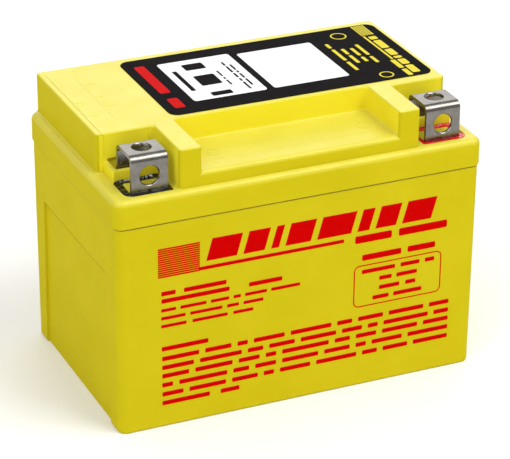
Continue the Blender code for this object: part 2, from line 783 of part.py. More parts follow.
def make_negative_bar(x):
    """From the negative terminal's leg, back under the lid, and up to the board."""
    front_y = TERMINAL_BACK_Y + GAP
    level = (BAR_LOW, BAR_LOW + BAR_THICKNESS)
    half_width = FLANGE_HALF + BAR_SET_IN
    bar = box("negative_bar", (x - half_width, x + half_width), (front_y + BAR_SET_IN, BAR_RISER_Y), level)
    riser_x = (x - half_width + OFFSET, x + half_width - OFFSET)
    riser_y = (BAR_RISER_Y - OFFSET - BAR_THICKNESS, BAR_RISER_Y - OFFSET)
    join(bar, box("riser", riser_x, riser_y, (level[0] + OFFSET, BOARD_BOTTOM - GAP)))
    add_flange(bar, x, front_y, level[1])


# ---------------------------------------------------------------- the board


def make_board():
    """The protection and balancing board, screwed to the upper holder's posts."""
    top = BOARD_BOTTOM + BOARD_THICKNESS
    board = prism("protection_board", rectangle(BOARD_X, BOARD_Y, BOARD_CORNER, steps=2), (BOARD_BOTTOM, top))
    profile = [
        (0.0, -BOARD_SCREW_LENGTH),
        (BOARD_SCREW_RADIUS, -BOARD_SCREW_LENGTH),
        (BOARD_SCREW_RADIUS, 0.0),
        (BOARD_HEAD_RADIUS, 0.0),
        (BOARD_HEAD_RADIUS, BOARD_HEAD_HEIGHT - BOARD_HEAD_BEVEL),
        (BOARD_HEAD_RADIUS - BOARD_HEAD_BEVEL, BOARD_HEAD_HEIGHT),
        (0.0, BOARD_HEAD_HEIGHT),
    ]
    for number, (x, y) in enumerate(post_places(), start=1):
        cut(board, rod("screw_hole", BOARD_HOLE_RADIUS, (x, y, top), 2 * BOARD_THICKNESS + REACH, "Z", 12))
        finish(turned(f"board_screw_{number}", profile, (x, y, top + GAP), "Z", 12), STEEL_FIXING)
    return finish(board, CIRCUIT_BOARD)


def on_board(name, centre, size, material_values):
    """A part soldered to the top of the board, as a block with softened corners."""
    low = BOARD_BOTTOM + BOARD_THICKNESS + GAP
    x_range = (centre[0] - size[0] / 2, centre[0] + size[0] / 2)
    y_range = (centre[1] - size[1] / 2, centre[1] + size[1] / 2)
    corner = 0.4
    part = prism(name, rectangle(x_range, y_range, corner, steps=1), (low, low + size[2]))
    return finish(part, material_values, smooth=False)


def make_board_parts():
    """The transistors, the balancing resistors, the shunt, the controller and the sense connector."""
    for index in range(4):
        mosfet_x = MOSFET_START[0] + MOSFET_PITCH * index
        on_board(f"mosfet_{index + 1}", (mosfet_x, MOSFET_START[1]), MOSFET_SIZE, CHIP_PACKAGE)
        resistor_x = RESISTOR_START[0] + RESISTOR_PITCH * index
        resistor_place = (resistor_x, RESISTOR_START[1])
        on_board(f"balance_resistor_{index + 1}", resistor_place, RESISTOR_SIZE, RESISTOR_CERAMIC)
    on_board("shunt", SHUNT_PLACE, SHUNT_SIZE, COPPER_BAR)
    on_board("controller_chip", CONTROLLER_PLACE, CONTROLLER_SIZE, CHIP_PACKAGE)
    on_board("sense_connector", CONNECTOR_PLACE, CONNECTOR_SIZE, CONNECTOR_PLASTIC)


# ---------------------------------------------------------------- the sense wires


def wire(name, route):
    """An insulated wire along a smooth route through a few points."""
    curve = bpy.data.curves.new(name, "CURVE")
    curve.dimensions = "3D"
    curve.bevel_depth = WIRE_RADIUS * MM
    curve.bevel_resolution = 2
    curve.use_fill_caps = True
    points = smooth_route([Vector(point) for point in route])
    spline = curve.splines.new("POLY")
    spline.points.add(len(points) - 1)
    for spline_point, point in zip(spline.points, points):
        spline_point.co = (*(point * MM), 1.0)
    piece = bpy.data.objects.new(name, curve)
    bpy.context.collection.objects.link(piece)
    return finish(piece, WIRE_INSULATION, smooth=False)


def smooth_route(points, steps=4):
    """A Catmull-Rom curve through the points."""
    ends = [points[0] * 2 - points[1], *points, points[-1] * 2 - points[-2]]
    route = [points[0]]
    for before, start, end, after in zip(ends, ends[1:], ends[2:], ends[3:]):
        for step in range(1, steps + 1):
            t = step / steps
            square = (before * 2 - start * 5 + end * 4 - after) * t * t
            cube = (start * 3 - before - end * 3 + after) * t * t * t
            route.append((start * 2 + (end - before) * t + square + cube) / 2)
    return route


def make_sense_wires():
    """One wire from the board to each junction of the series.

    Two run down outside the cell block to the lower links, and two hang from the board over the cells.
    """
    low = CELL_BOTTOM + WIRE_RADIUS - WIRE_BELOW_CELLS
    for name, side in (("sense_wire_1", -1), ("sense_wire_3", 1)):
        route = [
            (WIRE_X, 0.0, low),
            (WIRE_X, -1.0, 30.0),
            (WIRE_X, -2.0, 58.0),
            (WIRE_X + 1.0, -3.5, 69.0),
            (WIRE_X + 2.0, -3.8, 72.8),
            (WIRE_X + 2.0, -3.8, WIRE_TOP),
        ]
        wire(name, [(side * x, y, z) for x, y, z in route])
    route = [(0.0, 10.5, WIRE_ABOVE_CELLS), (2.0, 8.5, 72.2), (5.0, 6.0, 73.0), (5.0, 6.0, WIRE_TOP)]
    wire("sense_wire_2", route)
    route = [(14.0, -12.0, WIRE_ABOVE_CELLS), (14.2, -8.0, 72.4), (15.0, -5.0, 73.2), (15.0, -5.0, WIRE_TOP)]
    wire("sense_wire_4", route)


# ---------------------------------------------------------------- the foam


def make_foam():
    """The pads that stop the pack moving in the case."""
    floor = CASE_FLOOR + GAP
    inner_x = CAVITY_HALF[0] - GAP
    whole_depth = (-FOAM_HALF_Y, FOAM_HALF_Y)
    block = (-HOLDER_HALF, HOLDER_HALF)
    floor_x = (-FLOOR_PAD_HALF_X, FLOOR_PAD_HALF_X)
    floor_z = (floor, floor + FLOOR_PAD_THICKNESS)
    side_z = (floor, SIDE_FOAM_TOP)
    lid_pad_z = (BOARD_BOTTOM + BOARD_THICKNESS + GAP, PLATEAU_TOP - LID_WALL - GAP)
    pads = {
        "bottom_pad": (floor_x, whole_depth, floor_z),
        "front_pad": (block, (-FOAM_HALF_Y, -FACE_PAD_Y), FACE_PAD_Z),
        "rear_pad": (block, (FACE_PAD_Y, FOAM_HALF_Y), FACE_PAD_Z),
        "left_foam": ((-inner_x, -SIDE_FOAM_X), whole_depth, side_z),
        "right_foam": ((SIDE_FOAM_X, inner_x), whole_depth, side_z),
        "lid_pad": (LID_PAD_X, LID_PAD_Y, lid_pad_z),
    }
    for name, (x_range, y_range, z_range) in pads.items():
        finish(prism(name, rectangle(x_range, y_range, FOAM_CORNER, steps=2), z_range), FOAM, smooth=False)


def main():
    for old in list(bpy.data.objects):
        bpy.data.objects.remove(old, do_unlink=True)
    make_case()
    make_lid()
    make_label()
    for name, side, x in TERMINALS:
        make_terminal(f"{name}_terminal", x)
        make_seal(f"{name}_seal", x, side, RED_RESIN if side > 0 else BLACK_RESIN)
        make_joint_fixings(name, x)
        if side > 0:
            make_positive_bar(x)
        else:
            make_negative_bar(x)
    make_cells()
    make_holder("lower_cell_holder", CELL_BOTTOM, False)
    make_holder("upper_cell_holder", UPPER_HOLDER_BOTTOM, True)
    make_links()
    make_negative_tab()
    make_board()
    make_board_parts()
    make_sense_wires()
    make_foam()


main()
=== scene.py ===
"""The looks of a 12 V lithium motorcycle battery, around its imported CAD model.

Metres, +Z up, in the CAD model's frame: the origin is the centre of the underside, +X runs towards the
positive terminal and -Y is the printed front. The sizes below are in millimetres.
"""

import json
import math

import bmesh
import bpy
from mathutils import Matrix, Vector, noise


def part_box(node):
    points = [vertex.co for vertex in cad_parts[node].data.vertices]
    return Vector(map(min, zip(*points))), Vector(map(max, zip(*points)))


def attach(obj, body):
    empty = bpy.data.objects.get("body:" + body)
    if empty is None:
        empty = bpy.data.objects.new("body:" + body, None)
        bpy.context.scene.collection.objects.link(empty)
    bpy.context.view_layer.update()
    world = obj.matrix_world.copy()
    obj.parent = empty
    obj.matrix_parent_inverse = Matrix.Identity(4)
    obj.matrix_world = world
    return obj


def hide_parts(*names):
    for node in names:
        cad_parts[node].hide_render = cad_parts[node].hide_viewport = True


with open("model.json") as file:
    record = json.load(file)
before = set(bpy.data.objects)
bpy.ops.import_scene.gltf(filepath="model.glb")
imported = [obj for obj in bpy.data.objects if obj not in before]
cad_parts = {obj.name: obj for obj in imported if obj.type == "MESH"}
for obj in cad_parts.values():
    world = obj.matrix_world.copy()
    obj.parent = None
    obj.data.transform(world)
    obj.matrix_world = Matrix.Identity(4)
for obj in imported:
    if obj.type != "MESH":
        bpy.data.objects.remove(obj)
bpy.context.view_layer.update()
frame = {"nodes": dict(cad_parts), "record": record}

MM = 0.001
BODY = "root"
REACH = 2.0  # how far a cutter goes past the face it opens
OVERLAP = 1.0  # how far blocks that are joined reach into each other


def node_box(node):
    """A CAD node's lowest and highest corners, in millimetres."""
    low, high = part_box(node)
    return low / MM, high / MM


CASE_LOW, CASE_HIGH = node_box("case")
LID_LOW, LID_HIGH = node_box("lid")
LABEL_LOW, LABEL_HIGH = node_box("top_label")

# The lid, from its rim up.
RIM_TOP = 72.8
RIM_CORNER = 3.0
RIM_ROUND = 2.0
RIM_FOOT_ROUND = 0.5
PLATEAU_END = 54.1
PLATEAU_BACK = 34.3
FRONT_FACE_Y = -33.15
POCKET_WALL_Y = -14.5
SHELF_WALL_Y = -12.35
SHELF_TOP = 77.1
RIB_INNER_X = 30.2
RIB_OUTER_X = 36.8
LID_WALL = 2.0
LID_UNDERSIDE = 69.3
SKIRT_INNER = (54.9, 33.75)
SKIRT_CORNER = 2.0

# Edge radii of the lid.
TOP_EDGE = 0.5
UPRIGHT_EDGE = 1.0
SHELF_CORNER = 1.6
SHELF_FOOT = 0.8
SHELF_LIP = 1.5
RIB_LIP = 0.8
FOOT_FILLET = 0.45
COLLAR_EDGE = 0.45

# The lines and pits that the mould leaves, and the low relief: bars on the plateau, as an x range with its
# y ranges, and ringed minus and plus marks on the shelf, as x, y and radius.
LINE_WIDTH = 0.13
LINE_DEPTH = 0.1
POCKET_LINE_X = 51.8
POCKET_LINES = (-POCKET_LINE_X, -38.6, 38.5)
PLATEAU_LINE_X = -52.4
PLATEAU_LINE_BACK = 31.4
SHELF_LINE_X = (-27.0, 29.0)
SHELF_LINE_Y = (-26.78, -26.7)
PIT_RADIUS = 0.28
PITS = ((-43.5, 30.9), (-35.8, 12.4))
RELIEF = 0.05
EMBOSSED_BARS = (
    ((-45.2, -40.8), ((-7.0, 1.5), (3.0, 8.6), (10.1, 18.0), (19.5, 26.5))),
    ((-52.0, -48.2), ((-2.2, 6.4), (8.0, 17.2))),
)
POLE_MARKS = ((-22.5, -22.2, 2.0), (24.5, -21.8, 2.3))
POLE_HALF_LINE = 0.16

# The well of each terminal, and the terminals, as name, side and the x of the middle.
TERMINALS = (
    ("negative", -1, sum(point.x for point in node_box("negative_terminal")) / 2),
    ("positive", 1, sum(point.x for point in node_box("positive_terminal")) / 2),
)
COLLAR_TOP = 76.2
COLLAR_FRONT_Y = -21.6
COLLAR_OUTER = 7.2
SLOT_HALF = 6.1
SLOT_Y = (-20.7, -13.7)
SLOT_TOP = 76.9
GROOVE_FLOOR = 71.2
GROOVE_OUTER = 7.5
GROOVE_INNER = 6.6
GROOVE_CORNER = 2.6
GROOVE_SMALL_CORNER = 0.8
GROOVE_FRONT_Y = -32.2
GROOVE_BACK_Y = -21.9
ISLAND_HALF = 5.3
ISLAND_Y = (-29.4, -23.3)
ISLAND_CORNER = 0.5
GROOVE_LIP = 0.22
PLATE = 1.0
BEND = 2.2
PLATE_FOOT = 71.5
PLATE_EDGE = 0.12
FRONT_HOLE = (77.5, 3.1)  # height and radius
TOP_HOLE = (-24.7, 2.9)  # y and radius
HOLE_CHAMFER = 0.22
LEG_HALF = 3.5
LEG_TOP = 70.4
JOINT_HOLE = (62.6, 2.3)  # height and radius
RESIN_BED = 0.04  # how far the resin reaches into the groove's walls
RESIN_DIP = 0.1  # how far the resin reaches into the groove's floor
RESIN_GRID = 0.16

# The case.
CASE_BOTTOM_HALF = (55.8, 34.3)
CASE_CORNER = 2.7
CASE_FOOT_ROUND = 0.8
CASE_LIP_HALF = (54.6, 33.45)
CASE_LIP_CORNER = 1.9
CASE_FLOOR = 2.4
CAVITY_HALF = (53.1, 32.3)
CAVITY_CORNER = 1.2
SEAM_Z = 64.15
SEAM_GAP = 0.15
SHOULDER_EDGE = 0.05
RECESS_DEPTH = 0.9
RECESS_TOP = 47.5
RECESS_HALF_BOTTOM = 26.8
RECESS_HALF_TOP = 25.3
RECESS_SLOPE = 0.1
RECESS_LIP = 0.1
RECESS_CORNER = 0.7
CREASE_DROP = 1.05
CREASE_WIDTH = 0.32
CREASE_DEPTH = 0.8

# The print. A line of bars is a start, an end, a low and a high edge, the number of bars and the first one's
# place in WORD_LENGTHS. Lines run along x on the front, and along y on the label.
INK = 0.03  # how far ink stands proud
WORD_LENGTHS = (4, 7, 5, 2, 6, 8, 3, 5, 7, 4, 2, 9, 3)
WORD_GAP = 1.15
BAR_ROUND = 0.22  # a bar's corner radius, as a part of its width
STRIPES_X = (-44.05, -31.5)
STRIPES_Z = (47.6, 56.8)
STRIPE_COUNT = 14
STRIPE_SHARE = 0.76  # the part of the pitch that is ink
BLOCKS_Z = (50.3, 57.0)
BLOCKS_LINE = (-29.6, 41.0, 8, 1)
BLOCK_LEAN = 0.28
UNDERLINE = ((-31.8, 13.0), (47.7, 48.8))
FRONT_LINES = (
    (16.5, 46.0, 46.5, 48.9, 2, 4),
    (18.9, 42.4, 40.7, 42.6, 2, 1),
    (18.9, 42.3, 36.45, 37.75, 3, 8),
    (24.6, 36.8, 33.45, 34.75, 2, 6),
    (24.6, 36.4, 30.45, 31.75, 2, 9),
    (22.6, 38.5, 27.45, 28.75, 2, 0),
    (-43.1, -23.4, 41.9, 43.25, 2, 3),
    (-43.1, -6.2, 39.6, 40.95, 2, 9),
    (-43.2, -0.6, 36.85, 37.85, 6, 0),
    (-43.2, -12.0, 34.35, 35.35, 4, 4),
    (-43.2, -15.1, 31.85, 32.85, 3, 7),
    (-43.1, -28.9, 24.45, 25.85, 1, 0),
    (-43.0, 47.7, 21.3, 22.7, 9, 1),
    (-43.0, 47.7, 18.45, 19.85, 9, 4),
    (-43.0, 47.7, 15.75, 17.15, 9, 7),
    (-43.0, 47.7, 12.85, 14.25, 9, 10),
    (-43.0, 47.7, 9.9, 11.3, 9, 13),
    (-43.0, -19.2, 7.05, 8.45, 2, 2),
)
FRAME_X = (16.4, 44.65)
FRAME_Z = (25.8, 39.3)
FRAME_CORNER = 1.8
FRAME_LINE = 0.36
LABEL_CORNER = 3.0
LABEL_EDGE = 0.04
LABEL_STANDS = 0.2  # how far the label's face is above the plateau
LABEL_PANELS = (((-20.0, 2.7), (-3.9, 25.5), 1.0), ((4.95, 28.9), (-3.7, 24.2), 0.9))
LABEL_RED_LINES = ((-6.4, 26.2, -26.9, -23.7, 2, 3),)
LABEL_BLACK_LINES = (
    (3.3, 18.7, -17.9, -16.5, 1, 0),
    (3.5, 14.5, -5.7, -5.1, 3, 2),
    (-1.4, 20.0, -1.9, -1.2, 5, 5),
    (1.0, 17.4, -0.3, 0.4, 4, 1),
)
LABEL_BLOCKS_X = (-13.6, -7.2)
LABEL_BLOCKS_Y = ((17.8, 22.4), (5.6, 13.2), (-2.4, 0.4))
LABEL_BLOCK_CORNER = 0.6
LABEL_YELLOW_LINES = (
    (-0.8, 20.8, 32.2, 33.3, 3, 4),
    (4.1, 15.6, 35.0, 36.1, 2, 1),
    (4.2, 15.1, 37.8, 38.9, 2, 6),
    (2.3, 17.2, 40.4, 41.5, 2, 0),
    (-8.8, 21.4, 46.9, 49.4, 6, 1),
    (2.9, 22.2, 45.6, 46.3, 1, 0),
    (-10.2, 2.2, 44.7, 46.3, 2, 4),
)
LABEL_RINGS = ((39.0, 25.3, 2.5), (39.0, -7.2, 2.2))
LABEL_RING_LINE = 0.45

# Colours that the mouldings share, as the two ends of a soft mottle. The top colour is paler as painted light
# on up-facing faces, and the pocket colour is brighter as painted light in the pockets.
WALL_YELLOW = ((0.575, 0.480, 0.008), (0.610, 0.510, 0.011))
# Painted light: up-facing faces are painted paler than the walls.
TOP_PAINTED_LIGHT_YELLOW = ((0.690, 0.610, 0.058), (0.730, 0.650, 0.072))
# Painted light: the pocket and shelf walls are painted brighter than the other walls.
POCKET_PAINTED_LIGHT_YELLOW = ((0.850, 0.735, 0.026), (0.890, 0.775, 0.034))

# How noises are used: the stretch along each axis, and the part of a noise's range that makes its patches.
EVENLY = (1.0, 1.0, 1.0)
LENGTHWAYS = (0.05, 1.0, 1.0)
PATCHES = (0.3, 0.7)
DULL = 0.004  # the specular level of faces without sheen

# The surfaces inside the case: two colours and a roughness, then the grain's size and height, how metallic
# the surface is and the grain's stretch, where they aren't what plain() has.
PLAIN_SURFACES = {
    "cell_sleeve": ((0.035, 0.13, 0.38), (0.06, 0.19, 0.48), 0.4),
    "insulating_paper": ((0.74, 0.72, 0.64), (0.82, 0.80, 0.72), 0.8, 0.2, 0.02),
    "holder_plastic": ((0.025, 0.025, 0.027), (0.04, 0.04, 0.042), 0.6, 0.4, 0.01),
    "nickel_strip": ((0.62, 0.60, 0.55), (0.72, 0.70, 0.65), 0.3, 0.3, 0.004, 1.0, LENGTHWAYS),
    "copper_bar": ((0.74, 0.38, 0.22), (0.86, 0.50, 0.32), 0.32, 0.3, 0.004, 1.0, LENGTHWAYS),
    "circuit_board": ((0.015, 0.16, 0.055), (0.025, 0.22, 0.085), 0.4, 0.8, 0.01),
    "chip_package": ((0.016, 0.016, 0.018), (0.026, 0.026, 0.028), 0.55, 0.15, 0.006),
    "resistor_ceramic": ((0.66, 0.64, 0.56), (0.76, 0.74, 0.66), 0.5, 0.3, 0.008),
    "connector_plastic": ((0.78, 0.77, 0.72), (0.85, 0.84, 0.79), 0.45, 0.4, 0.006),
    "steel_fixing": ((0.48, 0.48, 0.49), (0.60, 0.60, 0.61), 0.3, 0.3, 0.005, 1.0),
    "wire_insulation": ((0.55, 0.025, 0.016), (0.64, 0.035, 0.024), 0.5, 0.4, 0.005),
    "foam": ((0.08, 0.08, 0.09), (0.13, 0.13, 0.14), 0.95, 0.7, 0.15),
}

# The studio, in metres, watts and degrees. A light is a name, a place, a side and a power.
FLOOR_HALF = 4.0
SKY_STRENGTH = 0.48
LIGHT_TARGET = (0.0, 0.0, 0.05)
LIGHTS = (
    ("overhead", (0.0, -0.15, 1.2), 1.3, 1.4),
    ("left_softbox", (-0.80, -0.50, 0.98), 1.1, 7.0),
    ("front_softbox", (0.44, -0.53, 1.03), 0.66, 7.4),
    ("back_softbox", (0.5, 1.1, 0.62), 1.0, 4.9),
)
CAMERA_TARGET = (0.0007, 0.0, 0.03879)
CAMERA_DISTANCE = 0.75616
CAMERA_AZIMUTH = -24.169
CAMERA_ELEVATION = 25.918
CAMERA_ROLL = 0.458
CAMERA_LENS = 180.86  # millimetres


# ---------------------------------------------------------------- outlines


def arc(centre_x, centre_y, radius, start, end, steps):
    """Points along an arc in the plane, from one angle to another."""
    points = []
    for step in range(steps + 1):
        angle = start + (end - start) * step / steps
        points.append((centre_x + radius * math.cos(angle), centre_y + radius * math.sin(angle)))
    return points


def outline(corners, inset=0.0, steps=8):
    """A closed outline, anticlockwise, through (x, y, radius) corners, moved inwards by inset."""
    least_radius = 0.02
    points = []
    count = len(corners)
    for index, (x, y, radius) in enumerate(corners):
        here = Vector((x, y))
        arriving = (here - Vector(corners[index - 1][:2])).normalized()
        leaving = (Vector(corners[(index + 1) % count][:2]) - here).normalized()
        turn = math.atan2(arriving.cross(leaving), arriving.dot(leaving))
        left = 1.0 if turn > 0 else -1.0
        in_arriving = Vector((-arriving.y, arriving.x))
        in_leaving = Vector((-leaving.y, leaving.x))
        bisector = (in_arriving + in_leaving).normalized()
        stretch = 1.0 / bisector.dot(in_arriving)
        moved = here + bisector * inset * stretch
        round_radius = max(radius - left * inset, least_radius)
        centre = moved + bisector * left * round_radius * stretch
        start = math.atan2(-left * in_arriving.y, -left * in_arriving.x)
        points += arc(centre.x, centre.y, round_radius, start, start + turn, steps)
    return points


def rectangle(x_range, y_range, radius, inset=0.0, steps=8):
    """A rounded rectangle between two x and two y values."""
    corners = [
        (x_range[0], y_range[0], radius),
        (x_range[1], y_range[0], radius),
        (x_range[1], y_range[1], radius),
        (x_range[0], y_range[1], radius),
    ]
    return outline(corners, inset, steps)


def centred(half, radius, inset=0.0):
    """A finely rounded rectangle centred on the origin."""
    return rectangle((-half[0], half[0]), (-half[1], half[1]), radius, inset, steps=10)


# ---------------------------------------------------------------- meshes


def add_object(name, builder):
    """A new object from a finished bmesh, with its faces turned outwards."""
    bmesh.ops.recalc_face_normals(builder, faces=builder.faces)
    mesh = bpy.data.meshes.new(name)
    builder.to_mesh(mesh)
    builder.free()
    piece = bpy.data.objects.new(name, mesh)
    bpy.context.scene.collection.objects.link(piece)
    return piece


def add_skin(builder, rings):
    """A closed solid through rings of (x, y, z) points in millimetres, added to a bmesh."""
    loops = []
    for ring in rings:
        loops.append([builder.verts.new(Vector(point) * MM) for point in ring])
    count = len(loops[0])
    for lower, upper in zip(loops, loops[1:]):
        for index in range(count):
            after = (index + 1) % count
            builder.faces.new((lower[index], lower[after], upper[after], upper[index]))
    builder.faces.new(reversed(loops[0]))
    builder.faces.new(loops[-1])


def skin(name, rings):
    builder = bmesh.new()
    add_skin(builder, rings)
    return add_object(name, builder)


def loft(name, sections):
    """A solid through (outline, z) sections."""
    return skin(name, [[(x, y, z) for x, y in points] for points, z in sections])


def prism(name, points, z_range):
    return loft(name, [(points, z_range[0]), (points, z_range[1])])


def side_extrusion(name, points, x_range):
    """A solid whose (y, z) outline is pulled along x."""
    return skin(name, [[(x, y, z) for y, z in points] for x in x_range])


def box(name, x_range, y_range, z_range):
    points = [
        (x_range[0], y_range[0]),
        (x_range[1], y_range[0]),
        (x_range[1], y_range[1]),
        (x_range[0], y_range[1]),
    ]
    return prism(name, points, z_range)


def turned(name, profile, centre, axis, segments=64):
    """A solid ring-by-ring from (radius, height) points, about an axis along Z or Y."""
    rings = []
    for radius, height in profile:
        ring = []
        for x, y in arc(0.0, 0.0, radius, 0.0, math.tau, segments)[:-1]:
            local = (x, y, height) if axis == "Z" else (x, height, y)
            ring.append(Vector(centre) + Vector(local))
        rings.append(ring)
    return skin(name, rings)


def bake(piece):
    """Turns a piece's modifiers into its own mesh."""
    graph = bpy.context.evaluated_depsgraph_get()
    result = bpy.data.meshes.new_from_object(piece.evaluated_get(graph))
    piece.modifiers.clear()
    piece.data = result


def combine(piece, tool, operation):
    """Cuts tool from piece, or joins it on, and removes the tool."""
    modifier = piece.modifiers.new("combine", "BOOLEAN")
    modifier.operation = operation
    modifier.solver = "MANIFOLD"
    modifier.object = tool
    bake(piece)
    bpy.data.objects.remove(tool, do_unlink=True)


def cut(piece, tool):
    combine(piece, tool, "DIFFERENCE")


def join(piece, tool):
    combine(piece, tool, "UNION")


def dissolve(piece):
    """Merges neighbouring faces that lie in one plane."""
    same_point = 0.001 * MM
    same_plane = math.radians(0.5)
    builder = bmesh.new()
    builder.from_mesh(piece.data)
    bmesh.ops.remove_doubles(builder, verts=builder.verts, dist=same_point)
    bmesh.ops.dissolve_limit(builder, angle_limit=same_plane, verts=builder.verts, edges=builder.edges)
    builder.to_mesh(piece.data)
    builder.free()


def bevel_by(piece, radius_of):
    """Rounds each edge by its own radius in millimetres, as radius_of(middle, direction, convex) gives it."""
    builder = bmesh.new()
    builder.from_mesh(piece.data)
    weights = builder.edges.layers.float.new("bevel_weight_edge")
    widest = SHELF_CORNER
    least_fold = math.radians(30)
    for edge in builder.edges:
        if edge.calc_face_angle(0.0) < least_fold:
            continue
        start, end = edge.verts
        middle = (start.co + end.co) / 2 / MM
        direction = (end.co - start.co).normalized()
        edge[weights] = radius_of(middle, direction, edge.is_convex) / widest
    builder.to_mesh(piece.data)
    builder.free()
    modifier = piece.modifiers.new("bevel", "BEVEL")
    modifier.limit_method = "WEIGHT"
    modifier.width = widest * MM
    modifier.segments = 5
    modifier.use_clamp_overlap = False
    bake(piece)


def shade(piece, angle=28.0):
    """Smooth shading that stays crisp at real edges and keeps large faces flat."""
    piece.data.shade_smooth()
    piece.data.set_sharp_from_angle(angle=math.radians(angle))
    modifier = piece.modifiers.new("normals", "WEIGHTED_NORMAL")
    modifier.keep_sharp = True
    modifier.weight = 80
    return piece


def settle(piece, slot, *nodes):
    """Gives a piece its material, and places it in the frame, in the place of any CAD nodes it stands for."""
    piece.data.materials.clear()
    piece.data.materials.append(MATERIALS[slot])
    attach(piece, BODY)
    if nodes:
        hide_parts(*nodes)
    return piece


# ---------------------------------------------------------------- materials


class Surface:
    """A material made of layered noises around one Principled shader."""

    def __init__(self, name):
        self.material = bpy.data.materials.new(name)
        self.material.use_nodes = True
        self.tree = self.material.node_tree
        self.shader = self.tree.nodes["Principled BSDF"]
        self.normal = None

    def set(self, socket, value):
        self.shader.inputs[socket].default_value = value

    def noise(self, size, stretch=EVENLY, detail=2.0):
        """Noise in patches about size millimetres across, drawn out along an axis with a small stretch."""
        source = self.tree.nodes.new("ShaderNodeTexCoord")
        mapping = self.tree.nodes.new("ShaderNodeMapping")
        mapping.inputs["Scale"].default_value = stretch
        texture = self.tree.nodes.new("ShaderNodeTexNoise")
        texture.inputs["Scale"].default_value = 1.0 / (size * MM)
        texture.inputs["Detail"].default_value = detail
        self.tree.links.new(source.outputs["Object"], mapping.inputs["Vector"])
        self.tree.links.new(mapping.outputs["Vector"], texture.inputs["Vector"])
        return texture.outputs[0]

    def spread(self, factor, low, high, edges=PATCHES):
        """Maps a noise onto a range of values."""
        ranger = self.tree.nodes.new("ShaderNodeMapRange")
        ranger.inputs["From Min"].default_value = edges[0]
        ranger.inputs["From Max"].default_value = edges[1]
        ranger.inputs["To Min"].default_value = low
        ranger.inputs["To Max"].default_value = high
        self.tree.links.new(factor, ranger.inputs["Value"])
        return ranger.outputs["Result"]

    def link(self, socket, source):
        self.tree.links.new(source, self.shader.inputs[socket])

    def mottle(self, first, second, size, detail=3.0):
        """Two close colours in soft patches about size millimetres across."""
        node = self.tree.nodes.new("ShaderNodeValToRGB")
        for element, position, colour in zip(node.color_ramp.elements, PATCHES, (first, second)):
            element.position = position
            element.color = (*colour, 1.0)
        self.tree.links.new(self.noise(size, detail=detail), node.inputs["Fac"])
        return node.outputs["Color"]

    def colour(self, first, second, size, detail=3.0):
        self.link("Base Color", self.mottle(first, second, size, detail))

    def roughness(self, low, high, size):
        self.link("Roughness", self.spread(self.noise(size), low, high))

    def facing_up(self, low, high):
        """A smooth factor that grows as the surface turns from a wall to a level top."""
        source = self.tree.nodes.new("ShaderNodeTexCoord")
        parts = self.tree.nodes.new("ShaderNodeSeparateXYZ")
        self.tree.links.new(source.outputs["Normal"], parts.inputs[0])
        return self.spread(parts.outputs["Z"], 0.0, 1.0, (low, high))

    def blend(self, socket, factor, first, second):
        """Feeds a socket with a colour that goes from the first to the second."""
        node = self.tree.nodes.new("ShaderNodeMixRGB")
        for place, source in enumerate((factor, first, second)):
            self.tree.links.new(source, node.inputs[place])
        self.link(socket, node.outputs[0])

    def bump(self, size, height, stretch=EVENLY, detail=2.0):
        """Small relief, height millimetres deep, on top of any relief already there."""
        node = self.tree.nodes.new("ShaderNodeBump")
        node.inputs["Distance"].default_value = height * MM
        node.inputs["Strength"].default_value = 1.0
        self.tree.links.new(self.noise(size, stretch, detail), node.inputs["Height"])
        if self.normal:
            self.tree.links.new(self.normal, node.inputs["Normal"])
        self.normal = node.outputs["Normal"]
        self.link("Normal", self.normal)


def yellow_plastic(name, walls, painted_light_tops):
    """The yellow moulding: satin walls, and upper faces that are polished and painted a little paler, as
    painted light from above.
    """
    surface = Surface(name)
    upwards = surface.facing_up(0.1, 0.8)
    # Up-facing faces blend to the paler top colour: painted light from above.
    surface.blend("Base Color", upwards, surface.mottle(*walls, 14.0), surface.mottle(*painted_light_tops, 11.0))
    surface.link("Specular IOR Level", surface.spread(upwards, DULL, 0.4, edges=(0.0, 1.0)))
    surface.roughness(0.30, 0.42, 5.0)
    surface.bump(9.0, 0.05)
    surface.bump(0.45, 0.005)
    surface.set("Specular Tint", (1.0, 0.95, 0.62, 1.0))
    return surface.material


def printed_film():
    """The black label: a satin film."""
    surface = Surface("label_film")
    surface.colour((0.0075, 0.0062, 0.0066), (0.0105, 0.009, 0.0095), 6.0)
    surface.roughness(0.42, 0.52, 3.0)
    surface.bump(1.2, 0.004)
    surface.set("Specular IOR Level", DULL)
    return surface.material


def ink(name, first, second, specular=0.03):
    """Screen-printed ink with a slightly uneven coat."""
    surface = Surface(name)
    surface.colour(first, second, 1.6)
    surface.roughness(0.42, 0.55, 1.0)
    surface.bump(0.3, 0.002)
    surface.set("Specular IOR Level", specular)
    return surface.material


def plated_steel():
    """The terminals: drawn along the strip, mottled by the bending and a little dull."""
    surface = Surface("tin_plate")
    # A dark, warm grey: partly the plating's own tone, partly darkened and warmed as a painted reflection of
    # the yellow moulding and the dim surroundings.
    surface.colour((0.170, 0.159, 0.140), (0.230, 0.217, 0.195), 2.2, detail=5.0)
    surface.roughness(0.17, 0.28, 1.4)
    drawn_out = (1.0, 0.06, 0.06)
    surface.bump(0.28, 0.0025, drawn_out, detail=3.0)
    surface.bump(2.5, 0.012)
    surface.set("Metallic", 1.0)
    return surface.material


def resin(name, first, second, specular):
    """Cast resin: wet-looking, with an uneven surface."""
    surface = Surface(name)
    surface.colour(first, second, 1.5)
    surface.roughness(0.08, 0.16, 1.2)
    surface.bump(1.8, 0.05)
    surface.set("Specular IOR Level", specular)
    return surface.material


def plain(name, first, second, rough, grain=0.5, height=0.005, metallic=0.0, stretch=EVENLY):
    """A modest material for the pieces inside the case, with a fine grain of a size and a height."""
    uneven = 0.07
    surface = Surface(name)
    surface.colour(first, second, 5.0)
    surface.roughness(rough - uneven, rough + uneven, 2.0)
    surface.bump(grain, height, stretch)
    surface.set("Metallic", metallic)
    return surface.material


